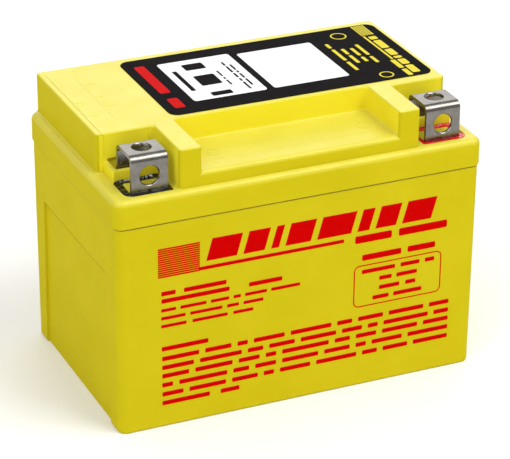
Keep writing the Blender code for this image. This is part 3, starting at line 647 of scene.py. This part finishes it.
MATERIALS = {
    "yellow_plastic": yellow_plastic("yellow_plastic", WALL_YELLOW, TOP_PAINTED_LIGHT_YELLOW),
    "label_film": printed_film(),
    "print_red": ink("print_red", (0.54, 0.0, 0.0), (0.60, 0.0, 0.0), 0.015),
    "print_white": ink("print_white", (0.86, 0.86, 0.86), (0.90, 0.90, 0.90)),
    "print_yellow": ink("print_yellow", (0.70, 0.58, 0.03), (0.76, 0.64, 0.05)),
    "tin_plate": plated_steel(),
    "black_resin": resin("black_resin", (0.008, 0.006, 0.004), (0.018, 0.013, 0.009), 0.7),
    "red_resin": resin("red_resin", (0.62, 0.008, 0.006), (0.72, 0.020, 0.012), 0.3),
}
for name, values in PLAIN_SURFACES.items():
    MATERIALS[name] = plain(name, *values)
# A brighter copy of the yellow plastic: painted light for the walls of the pockets and the shelf.
POCKET_PAINTED_LIGHT_PLASTIC = yellow_plastic("yellow_pocket_painted_light", POCKET_PAINTED_LIGHT_YELLOW, TOP_PAINTED_LIGHT_YELLOW)


# ---------------------------------------------------------------- the lid


def quarter(radius, steps):
    """Steps of a quarter round, as (sideways, upwards) from where it starts, on the vertical side."""
    pairs = []
    for step in range(steps + 1):
        angle = math.pi / 2 * step / steps
        pairs.append((radius * (1 - math.cos(angle)), radius * math.sin(angle)))
    return pairs


def rim():
    """The rim, with its small foot rounding and its larger top one."""
    half = (LID_HIGH.x, LID_HIGH.y)
    sections = []
    for side, up in reversed(quarter(RIM_FOOT_ROUND, 4)):
        sections.append((centred(half, RIM_CORNER, side), LID_LOW.z + RIM_FOOT_ROUND - up))
    for side, up in quarter(RIM_ROUND, 10):
        sections.append((centred(half, RIM_CORNER, side), RIM_TOP - RIM_ROUND + up))
    return loft("rim", sections)


def raised_edge_radius(middle, direction, convex):
    """The radius of each edge of the plateau, the ribs and the shelf."""
    near = 0.3
    upright = 0.9
    if abs(direction.z) > upright:
        if abs(middle.x) > RIB_INNER_X + near:
            return UPRIGHT_EDGE
        return RIB_LIP if convex else SHELF_CORNER
    if middle.z > LID_HIGH.z - near:
        return TOP_EDGE
    if middle.z > SHELF_TOP - near:
        return SHELF_LIP if convex else SHELF_FOOT
    return 0.0


def raised_part():
    """The plateau and the two ribs, with the shelf between them."""
    low = RIM_TOP - OVERLAP
    high = LID_HIGH.z
    body = box("lid_shell", (-PLATEAU_END, PLATEAU_END), (POCKET_WALL_Y, PLATEAU_BACK), (low, high))
    join(body, box("ribs", (-RIB_OUTER_X, RIB_OUTER_X), (FRONT_FACE_Y, POCKET_WALL_Y + OVERLAP), (low, high)))
    shelf_y = (FRONT_FACE_Y - REACH, SHELF_WALL_Y)
    cut(body, box("shelf", (-RIB_INNER_X, RIB_INNER_X), shelf_y, (SHELF_TOP, high + REACH)))
    dissolve(body)
    bevel_by(body, raised_edge_radius)
    return body


def foot_fillet():
    """A thin slab that flares out at the foot of the ends, the pocket walls and the ribs' sides."""
    tuck = 0.01
    below = 0.2
    above = 0.1
    sections = [(foot_outline(FOOT_FILLET), RIM_TOP - below)]
    for side, up in quarter(FOOT_FILLET, 5):
        sections.append((foot_outline(FOOT_FILLET - up - tuck), RIM_TOP + side))
    sections.append((foot_outline(-above), RIM_TOP + FOOT_FILLET + above))
    return loft("foot", sections)


def foot_outline(flare):
    """The outline of the raised part, with its ends and pockets moved out by flare."""
    inside = 0.02
    end = PLATEAU_END + flare
    rib = RIB_OUTER_X + flare
    wall = POCKET_WALL_Y - flare
    front = FRONT_FACE_Y + inside
    back = PLATEAU_BACK - inside
    radius = UPRIGHT_EDGE
    corners = [
        (-rib, front, radius),
        (rib, front, radius),
        (rib, wall, radius - flare),
        (end, wall, radius + flare),
        (end, back, radius),
        (-end, back, radius),
        (-end, wall, radius + flare),
        (-rib, wall, radius - flare),
    ]
    return outline(corners)


def collar(x, side):
    """The raised block around a terminal's slot, with rounded edges, sunk into the walls and the rim."""
    into_walls = 1.5
    into_rim = 1.2
    x_range = sorted((x + side * COLLAR_OUTER, side * (RIB_OUTER_X - into_walls)))
    y_range = (COLLAR_FRONT_Y, POCKET_WALL_Y + into_walls)
    sections = [(rectangle(x_range, y_range, COLLAR_EDGE), RIM_TOP - into_rim)]
    for inwards, up in quarter(COLLAR_EDGE, 5):
        sections.append((rectangle(x_range, y_range, COLLAR_EDGE, inwards), COLLAR_TOP - COLLAR_EDGE + up))
    return loft("collar", sections)


def hollow_out(lid):
    """Cores the lid from below, and opens the slots and grooves of the terminals."""
    low = LID_LOW.z - REACH
    cut(lid, prism("skirt", centred(SKIRT_INNER, SKIRT_CORNER), (low, LID_UNDERSIDE)))
    end = PLATEAU_END - LID_WALL
    front = SHELF_WALL_Y + LID_WALL
    rib_front = FRONT_FACE_Y + LID_WALL
    shelf_end = RIB_INNER_X - LID_WALL
    roof = LID_HIGH.z - LID_WALL
    under_plateau = rectangle((-end, end), (front, PLATEAU_BACK - LID_WALL), UPRIGHT_EDGE)
    cut(lid, prism("under_plateau", under_plateau, (low, roof)))
    shelf_roof = SHELF_TOP - LID_WALL
    rib_roof = roof - 0.1  # clear of the plateau's roof, so that no two cut faces coincide
    y_range = (rib_front, front + OVERLAP)
    cut(lid, box("under_shelf", (-shelf_end, shelf_end), y_range, (low, shelf_roof)))
    for side in (-1, 1):
        x_range = sorted((side * (RIB_INNER_X + LID_WALL), side * (RIB_OUTER_X - LID_WALL)))
        cut(lid, box("under_rib", x_range, y_range, (low, rib_roof)))
    for _, side, x in TERMINALS:
        cut(lid, box("slot", (x - SLOT_HALF, x + SLOT_HALF), SLOT_Y, (low, SLOT_TOP)))
        cut(lid, groove(x, side))


def groove(x, side):
    """The ring to cut around the foot of a terminal, flared at its mouth to round the edges it leaves."""
    outer = [(well_outline(x, side), GROOVE_FLOOR)]
    island = [(island_outline(x), GROOVE_FLOOR - REACH)]
    for flare, up in quarter(GROOVE_LIP, 4):
        outer.append((well_outline(x, side, -flare), RIM_TOP - GROOVE_LIP + up))
        island.append((island_outline(x, flare), RIM_TOP - GROOVE_LIP + up))
    outer.append((well_outline(x, side, -GROOVE_LIP), RIM_TOP + REACH))
    island.append((island_outline(x, GROOVE_LIP), RIM_TOP + 2 * REACH))
    ring = loft("groove", outer)
    cut(ring, loft("island", island))
    return ring


def well_outline(x, side, inset=0.0):
    """The groove's outer edge, with its large corner at the corner of the battery."""
    corners = [
        (-GROOVE_INNER, GROOVE_BACK_Y, GROOVE_SMALL_CORNER),
        (-GROOVE_INNER, GROOVE_FRONT_Y, GROOVE_SMALL_CORNER),
        (GROOVE_OUTER, GROOVE_FRONT_Y, GROOVE_CORNER),
        (GROOVE_OUTER, GROOVE_BACK_Y, GROOVE_SMALL_CORNER),
    ]
    placed = [(x + side * across, y, radius) for across, y, radius in corners]
    if side < 0:
        placed.reverse()
    return outline(placed, inset)


def island_outline(x, inset=0.0):
    """The edge of the island of the lid inside a groove."""
    return rectangle((x - ISLAND_HALF, x + ISLAND_HALF), ISLAND_Y, ISLAND_CORNER, inset)


def mould_marks(lid):
    """The faint lines that the mould's inserts leave, a line along the shelf and two small pits."""
    top = LID_HIGH.z
    line_x = (PLATEAU_LINE_X, PLATEAU_LINE_X + LINE_WIDTH)
    line_y = (POCKET_WALL_Y - OVERLAP, PLATEAU_LINE_BACK)
    cut(lid, box("line", line_x, line_y, (top - LINE_DEPTH, top + OVERLAP)))
    wall_y = (POCKET_WALL_Y - OVERLAP, POCKET_WALL_Y + LINE_DEPTH)
    for x in POCKET_LINES:
        cut(lid, box("line", (x, x + LINE_WIDTH), wall_y, (COLLAR_TOP + OVERLAP, top + OVERLAP)))
    cut(lid, box("line", SHELF_LINE_X, SHELF_LINE_Y, (SHELF_TOP - LINE_DEPTH, SHELF_TOP + OVERLAP)))
    for x, y in PITS:
        cut(lid, turned("pit", [(PIT_RADIUS, -LINE_DEPTH), (PIT_RADIUS, OVERLAP)], (x, y, top), "Z", 16))


def raised_marks():
    """Low relief: plain bars on the plateau, and a ringed minus and plus on the shelf."""
    builder = bmesh.new()
    bar_corner = 0.5
    bar_chamfer = 0.06
    on_plateau = (LID_HIGH.z - INK, LID_HIGH.z + RELIEF)
    for x_range, y_ranges in EMBOSSED_BARS:
        for y_range in y_ranges:
            add_bar(builder, rectangle(x_range, y_range, bar_corner, steps=4), on_plateau, bar_chamfer)
    stroke_share = 0.55
    stroke_corner = 0.1
    stroke_chamfer = 0.03
    on_shelf = (SHELF_TOP - INK, SHELF_TOP + RELIEF)
    for x, y, radius in POLE_MARKS:
        add_ring(builder, x, y, radius, 2 * POLE_HALF_LINE, on_shelf)
        reach = radius * stroke_share
        strokes = [((x - reach, x + reach), (y - POLE_HALF_LINE, y + POLE_HALF_LINE))]
        if x > 0:
            across = (x - POLE_HALF_LINE, x + POLE_HALF_LINE)
            strokes += [(across, (y - reach, y - POLE_HALF_LINE)), (across, (y + POLE_HALF_LINE, y + reach))]
        for x_range, y_range in strokes:
            add_bar(builder, rectangle(x_range, y_range, stroke_corner, steps=3), on_shelf, stroke_chamfer)
    return add_object("lid_raised_marks", builder)


def add_bar(builder, points, z_range, chamfer=0.0):
    """A low flat bar on a level face, with a small chamfer round its top."""
    rings = [[(x, y, z_range[0]) for x, y in points], [(x, y, z_range[1] - chamfer) for x, y in points]]
    if chamfer:
        middle = sum((Vector(point) for point in points), Vector((0.0, 0.0))) / len(points)
        ring = []
        for point in points:
            away = Vector(point) - middle
            shrink = Vector((math.copysign(chamfer, away.x), math.copysign(chamfer, away.y)))
            ring.append((*(Vector(point) - shrink), z_range[1]))
        rings.append(ring)
    add_skin(builder, rings)


def add_ring(builder, x, y, radius, line, z_range):
    """A flat ring on a level face."""
    steps = 40
    inner = arc(x, y, radius - line, 0.0, math.tau, steps)[:-1]
    outer = arc(x, y, radius, 0.0, math.tau, steps)[:-1]
    add_hoop(builder, inner, outer, lambda point, up: (*point, z_range[up]))


def add_hoop(builder, inner, outer, place):
    """A closed band between two outlines with the same number of points, as place(point, up) sets it."""
    rings = []
    for points, up in ((inner, 0), (outer, 0), (outer, 1), (inner, 1)):
        rings.append([builder.verts.new(Vector(place(point, up)) * MM) for point in points])
    count = len(inner)
    for first, second in zip(rings, rings[1:] + rings[:1]):
        for index in range(count):
            after = (index + 1) % count
            builder.faces.new((first[index], first[after], second[after], second[index]))


def paint_pocket_light(lid):
    """Gives the walls of the pockets and the shelf a brighter copy of the yellow plastic: painted light in
    the pockets.
    """
    lid.data.materials.append(POCKET_PAINTED_LIGHT_PLASTIC)
    front = FRONT_FACE_Y + UPRIGHT_EDGE
    for face in lid.data.polygons:
        x, y, z = face.center / MM
        in_front = front < y < SHELF_WALL_Y + TOP_EDGE
        if in_front and abs(x) < POCKET_LINE_X and RIM_TOP < z < LID_HIGH.z - TOP_EDGE / 2:
            face.material_index = 1


def make_lid():
    lid = raised_part()
    join(lid, foot_fillet())
    join(lid, rim())
    for _, side, x in TERMINALS:
        join(lid, collar(x, side))
    hollow_out(lid)
    mould_marks(lid)
    paint_pocket_light(settle(shade(lid), "yellow_plastic", "lid"))
    settle(shade(raised_marks()), "yellow_plastic")


# ---------------------------------------------------------------- the case


def make_case():
    """The drafted box, with its lip, its cavity and a shallow panel in each end."""
    top_half = (CASE_HIGH.x, CASE_HIGH.y)
    sections = []
    for side, up in reversed(quarter(CASE_FOOT_ROUND, 6)):
        sections.append((centred(CASE_BOTTOM_HALF, CASE_CORNER, side), CASE_LOW.z + CASE_FOOT_ROUND - up))
    shoulder = SEAM_Z - SEAM_GAP
    sections.append((centred(top_half, CASE_CORNER), shoulder - SHOULDER_EDGE))
    sections.append((centred(top_half, CASE_CORNER, SHOULDER_EDGE), shoulder))
    case = loft("case_shell", sections)
    join(case, prism("lip", centred(CASE_LIP_HALF, CASE_LIP_CORNER), (SEAM_Z - REACH, CASE_HIGH.z)))
    for side in (-1, 1):
        cut(case, recess_cutter(side))
        cut(case, panel_crease(side))
    cut(case, prism("cavity", centred(CAVITY_HALF, CAVITY_CORNER), (CASE_FLOOR, CASE_HIGH.z + REACH)))
    settle(shade(case), "yellow_plastic", "case")


def end_x(z):
    """How far out the case's drafted ends are at a height."""
    return CASE_BOTTOM_HALF[0] + (CASE_HIGH.x - CASE_BOTTOM_HALF[0]) * z / SEAM_Z


def recess_cutter(side):
    """The panel on one end: drafted like the case, open at the foot, with sloped and rounded borders."""
    draft = (RECESS_HALF_BOTTOM - RECESS_HALF_TOP) / RECESS_TOP
    border_draft = 0.03
    levels = []
    for sideways, upwards in quarter(RECESS_SLOPE, 5):
        levels.append((upwards, sideways - RECESS_DEPTH))
    levels.append((RECESS_SLOPE + border_draft, -RECESS_LIP))
    levels.append((RECESS_SLOPE + RECESS_LIP, 0.0))
    levels.append((RECESS_SLOPE + RECESS_LIP, REACH))
    rings = []
    for grow, out in levels:
        top = RECESS_TOP - RECESS_SLOPE + grow
        foot_half = RECESS_HALF_BOTTOM - RECESS_SLOPE + grow + draft * REACH
        top_half = RECESS_HALF_TOP - RECESS_SLOPE + grow
        corners = [
            (-foot_half, -REACH, 0.0),
            (foot_half, -REACH, 0.0),
            (top_half, top, RECESS_CORNER),
            (-top_half, top, RECESS_CORNER),
        ]
        rings.append([(side * (end_x(z) + out), y, z) for y, z in outline(corners, steps=5)])
    return skin("recess", rings)


def panel_crease(side):
    """The fine dark line along the top of an end panel."""
    top = RECESS_TOP - CREASE_DROP
    panel = end_x(top) - RECESS_DEPTH
    x_range = sorted((side * (panel - CREASE_DEPTH), side * (panel + CREASE_WIDTH)))
    half = RECESS_HALF_TOP + CREASE_WIDTH
    return box("crease", x_range, (-half, half), (top - CREASE_WIDTH, top))


# ---------------------------------------------------------------- the terminals and their resin


def make_terminal(name, x):
    """One folded plate with its two chamfered bolt holes, and its leg with the joint screw's hole."""
    low, high = node_box(name)
    inner = BEND - PLATE
    fine = 12
    least_fold = math.radians(70)
    points = [(low.y, PLATE_FOOT), (low.y + PLATE, PLATE_FOOT)]
    points += arc(low.y + BEND, high.z - BEND, inner, math.pi, math.pi / 2, fine)
    points += arc(high.y - BEND, high.z - BEND, inner, math.pi / 2, 0.0, fine)
    points += [(high.y - PLATE, low.z), (high.y, low.z)]
    points += arc(high.y - BEND, high.z - BEND, BEND, 0.0, math.pi / 2, fine)
    points += arc(low.y + BEND, high.z - BEND, BEND, math.pi / 2, math.pi, fine)
    terminal = side_extrusion(name + "_plate", points, (low.x, high.x))
    leg_y = (high.y - PLATE - REACH, high.y + REACH)
    for x_range in ((low.x - REACH, x - LEG_HALF), (x + LEG_HALF, high.x + REACH)):
        cut(terminal, box("leg_side", x_range, leg_y, (low.z - REACH, LEG_TOP)))
    front_z, front_radius = FRONT_HOLE
    cut(terminal, hole_cutter((x, low.y + PLATE / 2, front_z), front_radius, "Y"))
    top_y, top_radius = TOP_HOLE
    cut(terminal, hole_cutter((x, top_y, high.z - PLATE / 2), top_radius, "Z"))
    joint_z, joint_radius = JOINT_HOLE
    cut(terminal, hole_cutter((x, high.y - PLATE / 2, joint_z), joint_radius, "Y"))
    bevel = terminal.modifiers.new("edges", "BEVEL")
    bevel.limit_method = "ANGLE"
    bevel.angle_limit = least_fold
    bevel.width = PLATE_EDGE * MM
    bevel.segments = 3
    bake(terminal)
    settle(shade(terminal), "tin_plate", name)


def hole_cutter(centre, radius, axis):
    """A drill that leaves a chamfer inside the hole's radius on each face of a plate."""
    half = PLATE / 2
    narrow = radius - HOLE_CHAMFER
    wide = radius + OVERLAP
    profile = [
        (wide, -half - OVERLAP),
        (radius, -half),
        (narrow, -half + HOLE_CHAMFER),
        (narrow, half - HOLE_CHAMFER),
        (radius, half),
        (wide, half + OVERLAP),
    ]
    return turned("hole", profile, centre, axis)


def climb(distance, height, steepness):
    """How far resin rises at a distance from a wall that it climbs to a height."""
    return height * math.exp(-abs(distance) * steepness)


def resin_rise(point, x):
    """How far a point of the resin's surface moves up: by waves, and by a climb at three of the walls."""
    wave = noise.noise(point * 0.45) + 0.4 * noise.noise(point * 1.1)
    wave_height = 0.3
    settling = 0.06
    rise = climb(point.y - GROOVE_FRONT_Y, height=0.4, steepness=1.0)
    rise += climb(abs(point.x - x) - GROOVE_OUTER, height=0.1, steepness=3.0)
    rise += climb(point.y - GROOVE_BACK_Y, height=0.9, steepness=2.0)
    return wave_height * wave + rise - settling


def make_resin(name, slot, x, side):
    """The resin in a terminal's groove, remeshed finely, with a wavy top."""
    high = node_box(name)[1]
    z_range = (GROOVE_FLOOR - RESIN_DIP, high.z)
    piece = prism(name + "_pour", well_outline(x, side, -RESIN_BED), z_range)
    cut(piece, prism("island", island_outline(x, RESIN_BED), (z_range[0] - REACH, z_range[1] + REACH)))
    remesh = piece.modifiers.new("remesh", "REMESH")
    remesh.mode = "VOXEL"
    remesh.voxel_size = RESIN_GRID * MM
    bake(piece)
    top_layer = high.z - 0.3
    for vertex in piece.data.vertices:
        point = vertex.co / MM
        if point.z >= top_layer:
            vertex.co.z += resin_rise(point, x) * MM
    settle(shade(piece, angle=60.0), slot, name)


# ---------------------------------------------------------------- print


def word_bars(start, end, count, first):
    """Ranges that fill a line with plain bars of uneven length, as the words of a text would."""
    words = [WORD_LENGTHS[(first + index) % len(WORD_LENGTHS)] for index in range(count)]
    unit = (end - start) / (sum(words) + WORD_GAP * (count - 1))
    ranges = []
    at = start
    for word in words:
        ranges.append((at, at + word * unit))
        at += (word + WORD_GAP) * unit
    return ranges


def front_y(z):
    """The drafted front face of the case at a height."""
    return -(CASE_BOTTOM_HALF[1] + (CASE_HIGH.y - CASE_BOTTOM_HALF[1]) * z / SEAM_Z)


def on_front(point, up):
    """A point of the front's print, (x, z), sunk into the face or proud of it."""
    x, z = point
    return (x, front_y(z) + (-INK if up else INK), z)


def add_front_shape(builder, points):
    """A flat printed shape on the front, from an (x, z) outline."""
    add_skin(builder, [[on_front(point, up) for point in points] for up in (0, 1)])


def stripes():
    """A patch of level stripes, in place of the first part of the large mark."""
    left, right = STRIPES_X
    pitch = (STRIPES_Z[1] - STRIPES_Z[0]) / STRIPE_COUNT
    shapes = []
    for index in range(STRIPE_COUNT):
        low = STRIPES_Z[0] + pitch * index
        high = low + pitch * STRIPE_SHARE
        shapes.append([(left, low), (right, low), (right, high), (left, high)])
    return shapes


def leaning_blocks():
    """A row of plain leaning blocks, in place of the rest of the large mark."""
    low, high = BLOCKS_Z
    slide = BLOCK_LEAN * (high - low)
    narrowing = 0.2
    shapes = []
    for start, end in word_bars(*BLOCKS_LINE):
        right_low = end - slide * narrowing
        shapes.append([(start, low), (right_low, low), (right_low + slide, high), (start + slide, high)])
    return shapes


def bar_lines(lines, along_y=False):
    """The outlines of the bars in lines of text."""
    shapes = []
    for start, end, low, high, count, first in lines:
        radius = (high - low) * BAR_ROUND
        for bar in word_bars(start, end, count, first):
            sides = ((low, high), bar) if along_y else (bar, (low, high))
            shapes.append(rectangle(*sides, radius, steps=4))
    return shapes


def front_print():
    """The red print on the front: bars, stripes, blocks and a frame in place of its text and marks."""
    builder = bmesh.new()
    underline = rectangle(*UNDERLINE, (UNDERLINE[1][1] - UNDERLINE[1][0]) * BAR_ROUND, steps=4)
    for points in [underline] + bar_lines(FRONT_LINES) + stripes() + leaning_blocks():
        add_front_shape(builder, points)
    outer = rectangle(FRAME_X, FRAME_Z, FRAME_CORNER)
    inner = rectangle(FRAME_X, FRAME_Z, FRAME_CORNER, FRAME_LINE)
    add_hoop(builder, inner, outer, on_front)
    settle(shade(add_object("front_print", builder)), "print_red")


def label_shape(name, slot, shapes, z_range):
    """One ink of the label, from a list of outlines."""
    builder = bmesh.new()
    for points in shapes:
        add_bar(builder, points, z_range)
    settle(shade(add_object(name, builder)), slot)


def small_stripes():
    """Five short stripes in the label's far right corner."""
    first = 45.6
    pitch = 0.88
    width = 0.55
    corner = 0.05
    margin = 0.5
    y_range = (22.8, LABEL_HIGH.y - margin)
    shapes = []
    for index in range(5):
        start = first + index * pitch
        shapes.append(rectangle((start, start + width), y_range, corner, steps=2))
    return shapes


def make_label():
    """The black film, its two white panels and its red, yellow and black marks."""
    base = LID_HIGH.z
    film_top = base + LABEL_STANDS
    sides = ((LABEL_LOW.x, LABEL_HIGH.x), (LABEL_LOW.y, LABEL_HIGH.y))
    outer = rectangle(*sides, LABEL_CORNER, steps=12)
    inner = rectangle(*sides, LABEL_CORNER, LABEL_EDGE, steps=12)
    film = loft("label_film", [(outer, base - INK), (outer, film_top - LABEL_EDGE), (inner, film_top)])
    settle(shade(film), "label_film", "top_label")
    ink_z = (film_top - INK, film_top + INK / 2)
    over_z = (film_top, film_top + INK)
    label_shape("label_white", "print_white", [rectangle(*panel) for panel in LABEL_PANELS], ink_z)
    label_shape("label_red", "print_red", bar_lines(LABEL_RED_LINES, along_y=True), ink_z)
    blocks = [rectangle(LABEL_BLOCKS_X, y_range, LABEL_BLOCK_CORNER) for y_range in LABEL_BLOCKS_Y]
    label_shape("label_black", "label_film", bar_lines(LABEL_BLACK_LINES, along_y=True) + blocks, over_z)
    yellow = bar_lines(LABEL_YELLOW_LINES, along_y=True) + small_stripes()
    label_shape("label_yellow", "print_yellow", yellow, ink_z)
    rings = bmesh.new()
    for x, y, radius in LABEL_RINGS:
        add_ring(rings, x, y, radius, LABEL_RING_LINE, ink_z)
    settle(shade(add_object("label_rings", rings)), "print_yellow")


# ---------------------------------------------------------------- the scene


def dress_inner_nodes():
    """Gives every CAD node that is still shown its own surface."""
    for part in frame["record"]["subparts"]:
        node = frame["nodes"][part["node"]]
        for slot in node.material_slots:
            slot.material = MATERIALS[part["material_slot"]]


def make_floor():
    builder = bmesh.new()
    half = FLOOR_HALF
    corners = ((-half, -half), (half, -half), (half, half), (-half, half))
    builder.faces.new([builder.verts.new((x, y, 0.0)) for x, y in corners])
    floor = add_object("floor", builder)
    surface = Surface("floor_paper")
    surface.colour((0.945, 0.945, 0.945), (0.96, 0.96, 0.96), 60.0)
    surface.roughness(0.85, 0.95, 20.0)
    surface.set("Specular IOR Level", 0.1)
    floor.data.materials.append(surface.material)


def area_light(name, place, size, watts):
    """A square soft light that faces the battery."""
    light = bpy.data.lights.new(name, "AREA")
    light.shape = "SQUARE"
    light.size = size
    light.energy = watts
    holder = bpy.data.objects.new(name, light)
    holder.location = place
    holder.rotation_euler = (Vector(LIGHT_TARGET) - Vector(place)).to_track_quat("-Z", "Y").to_euler()
    bpy.context.scene.collection.objects.link(holder)


def make_lights():
    """A plain white surround and the soft lights."""
    world = bpy.data.worlds.new("studio")
    world.use_nodes = True
    background = world.node_tree.nodes["Background"]
    background.inputs["Color"].default_value = (1.0, 1.0, 1.0, 1.0)
    background.inputs["Strength"].default_value = SKY_STRENGTH
    bpy.context.scene.world = world
    for light in LIGHTS:
        area_light(*light)


def make_camera():
    azimuth = math.radians(CAMERA_AZIMUTH)
    elevation = math.radians(CAMERA_ELEVATION)
    roll = math.radians(CAMERA_ROLL)
    back = Vector((
        math.sin(azimuth) * math.cos(elevation),
        -math.cos(azimuth) * math.cos(elevation),
        math.sin(elevation),
    ))
    right = Vector((math.cos(azimuth), math.sin(azimuth), 0.0))
    up = back.cross(right)
    tilted_right = right * math.cos(roll) + up * math.sin(roll)
    tilted_up = up * math.cos(roll) - right * math.sin(roll)
    data = bpy.data.cameras.new("camera")
    data.lens = CAMERA_LENS
    data.clip_start = 0.01
    data.clip_end = 20.0
    camera = bpy.data.objects.new("camera", data)
    rotation = Matrix((tilted_right, tilted_up, back)).transposed().to_4x4()
    place = Vector(CAMERA_TARGET) + back * CAMERA_DISTANCE
    camera.matrix_world = Matrix.Translation(place) @ rotation
    bpy.context.scene.collection.objects.link(camera)
    bpy.context.scene.camera = camera


make_camera()
make_lights()
make_floor()
dress_inner_nodes()
make_lid()
make_case()
for name, side, x in TERMINALS:
    make_terminal(name + "_terminal", x)
for (name, side, x), slot in zip(TERMINALS, ("black_resin", "red_resin")):
    make_resin(name + "_seal", slot, x, side)
front_print()
make_label()
bpy.context.scene.view_settings.view_transform = "Standard"
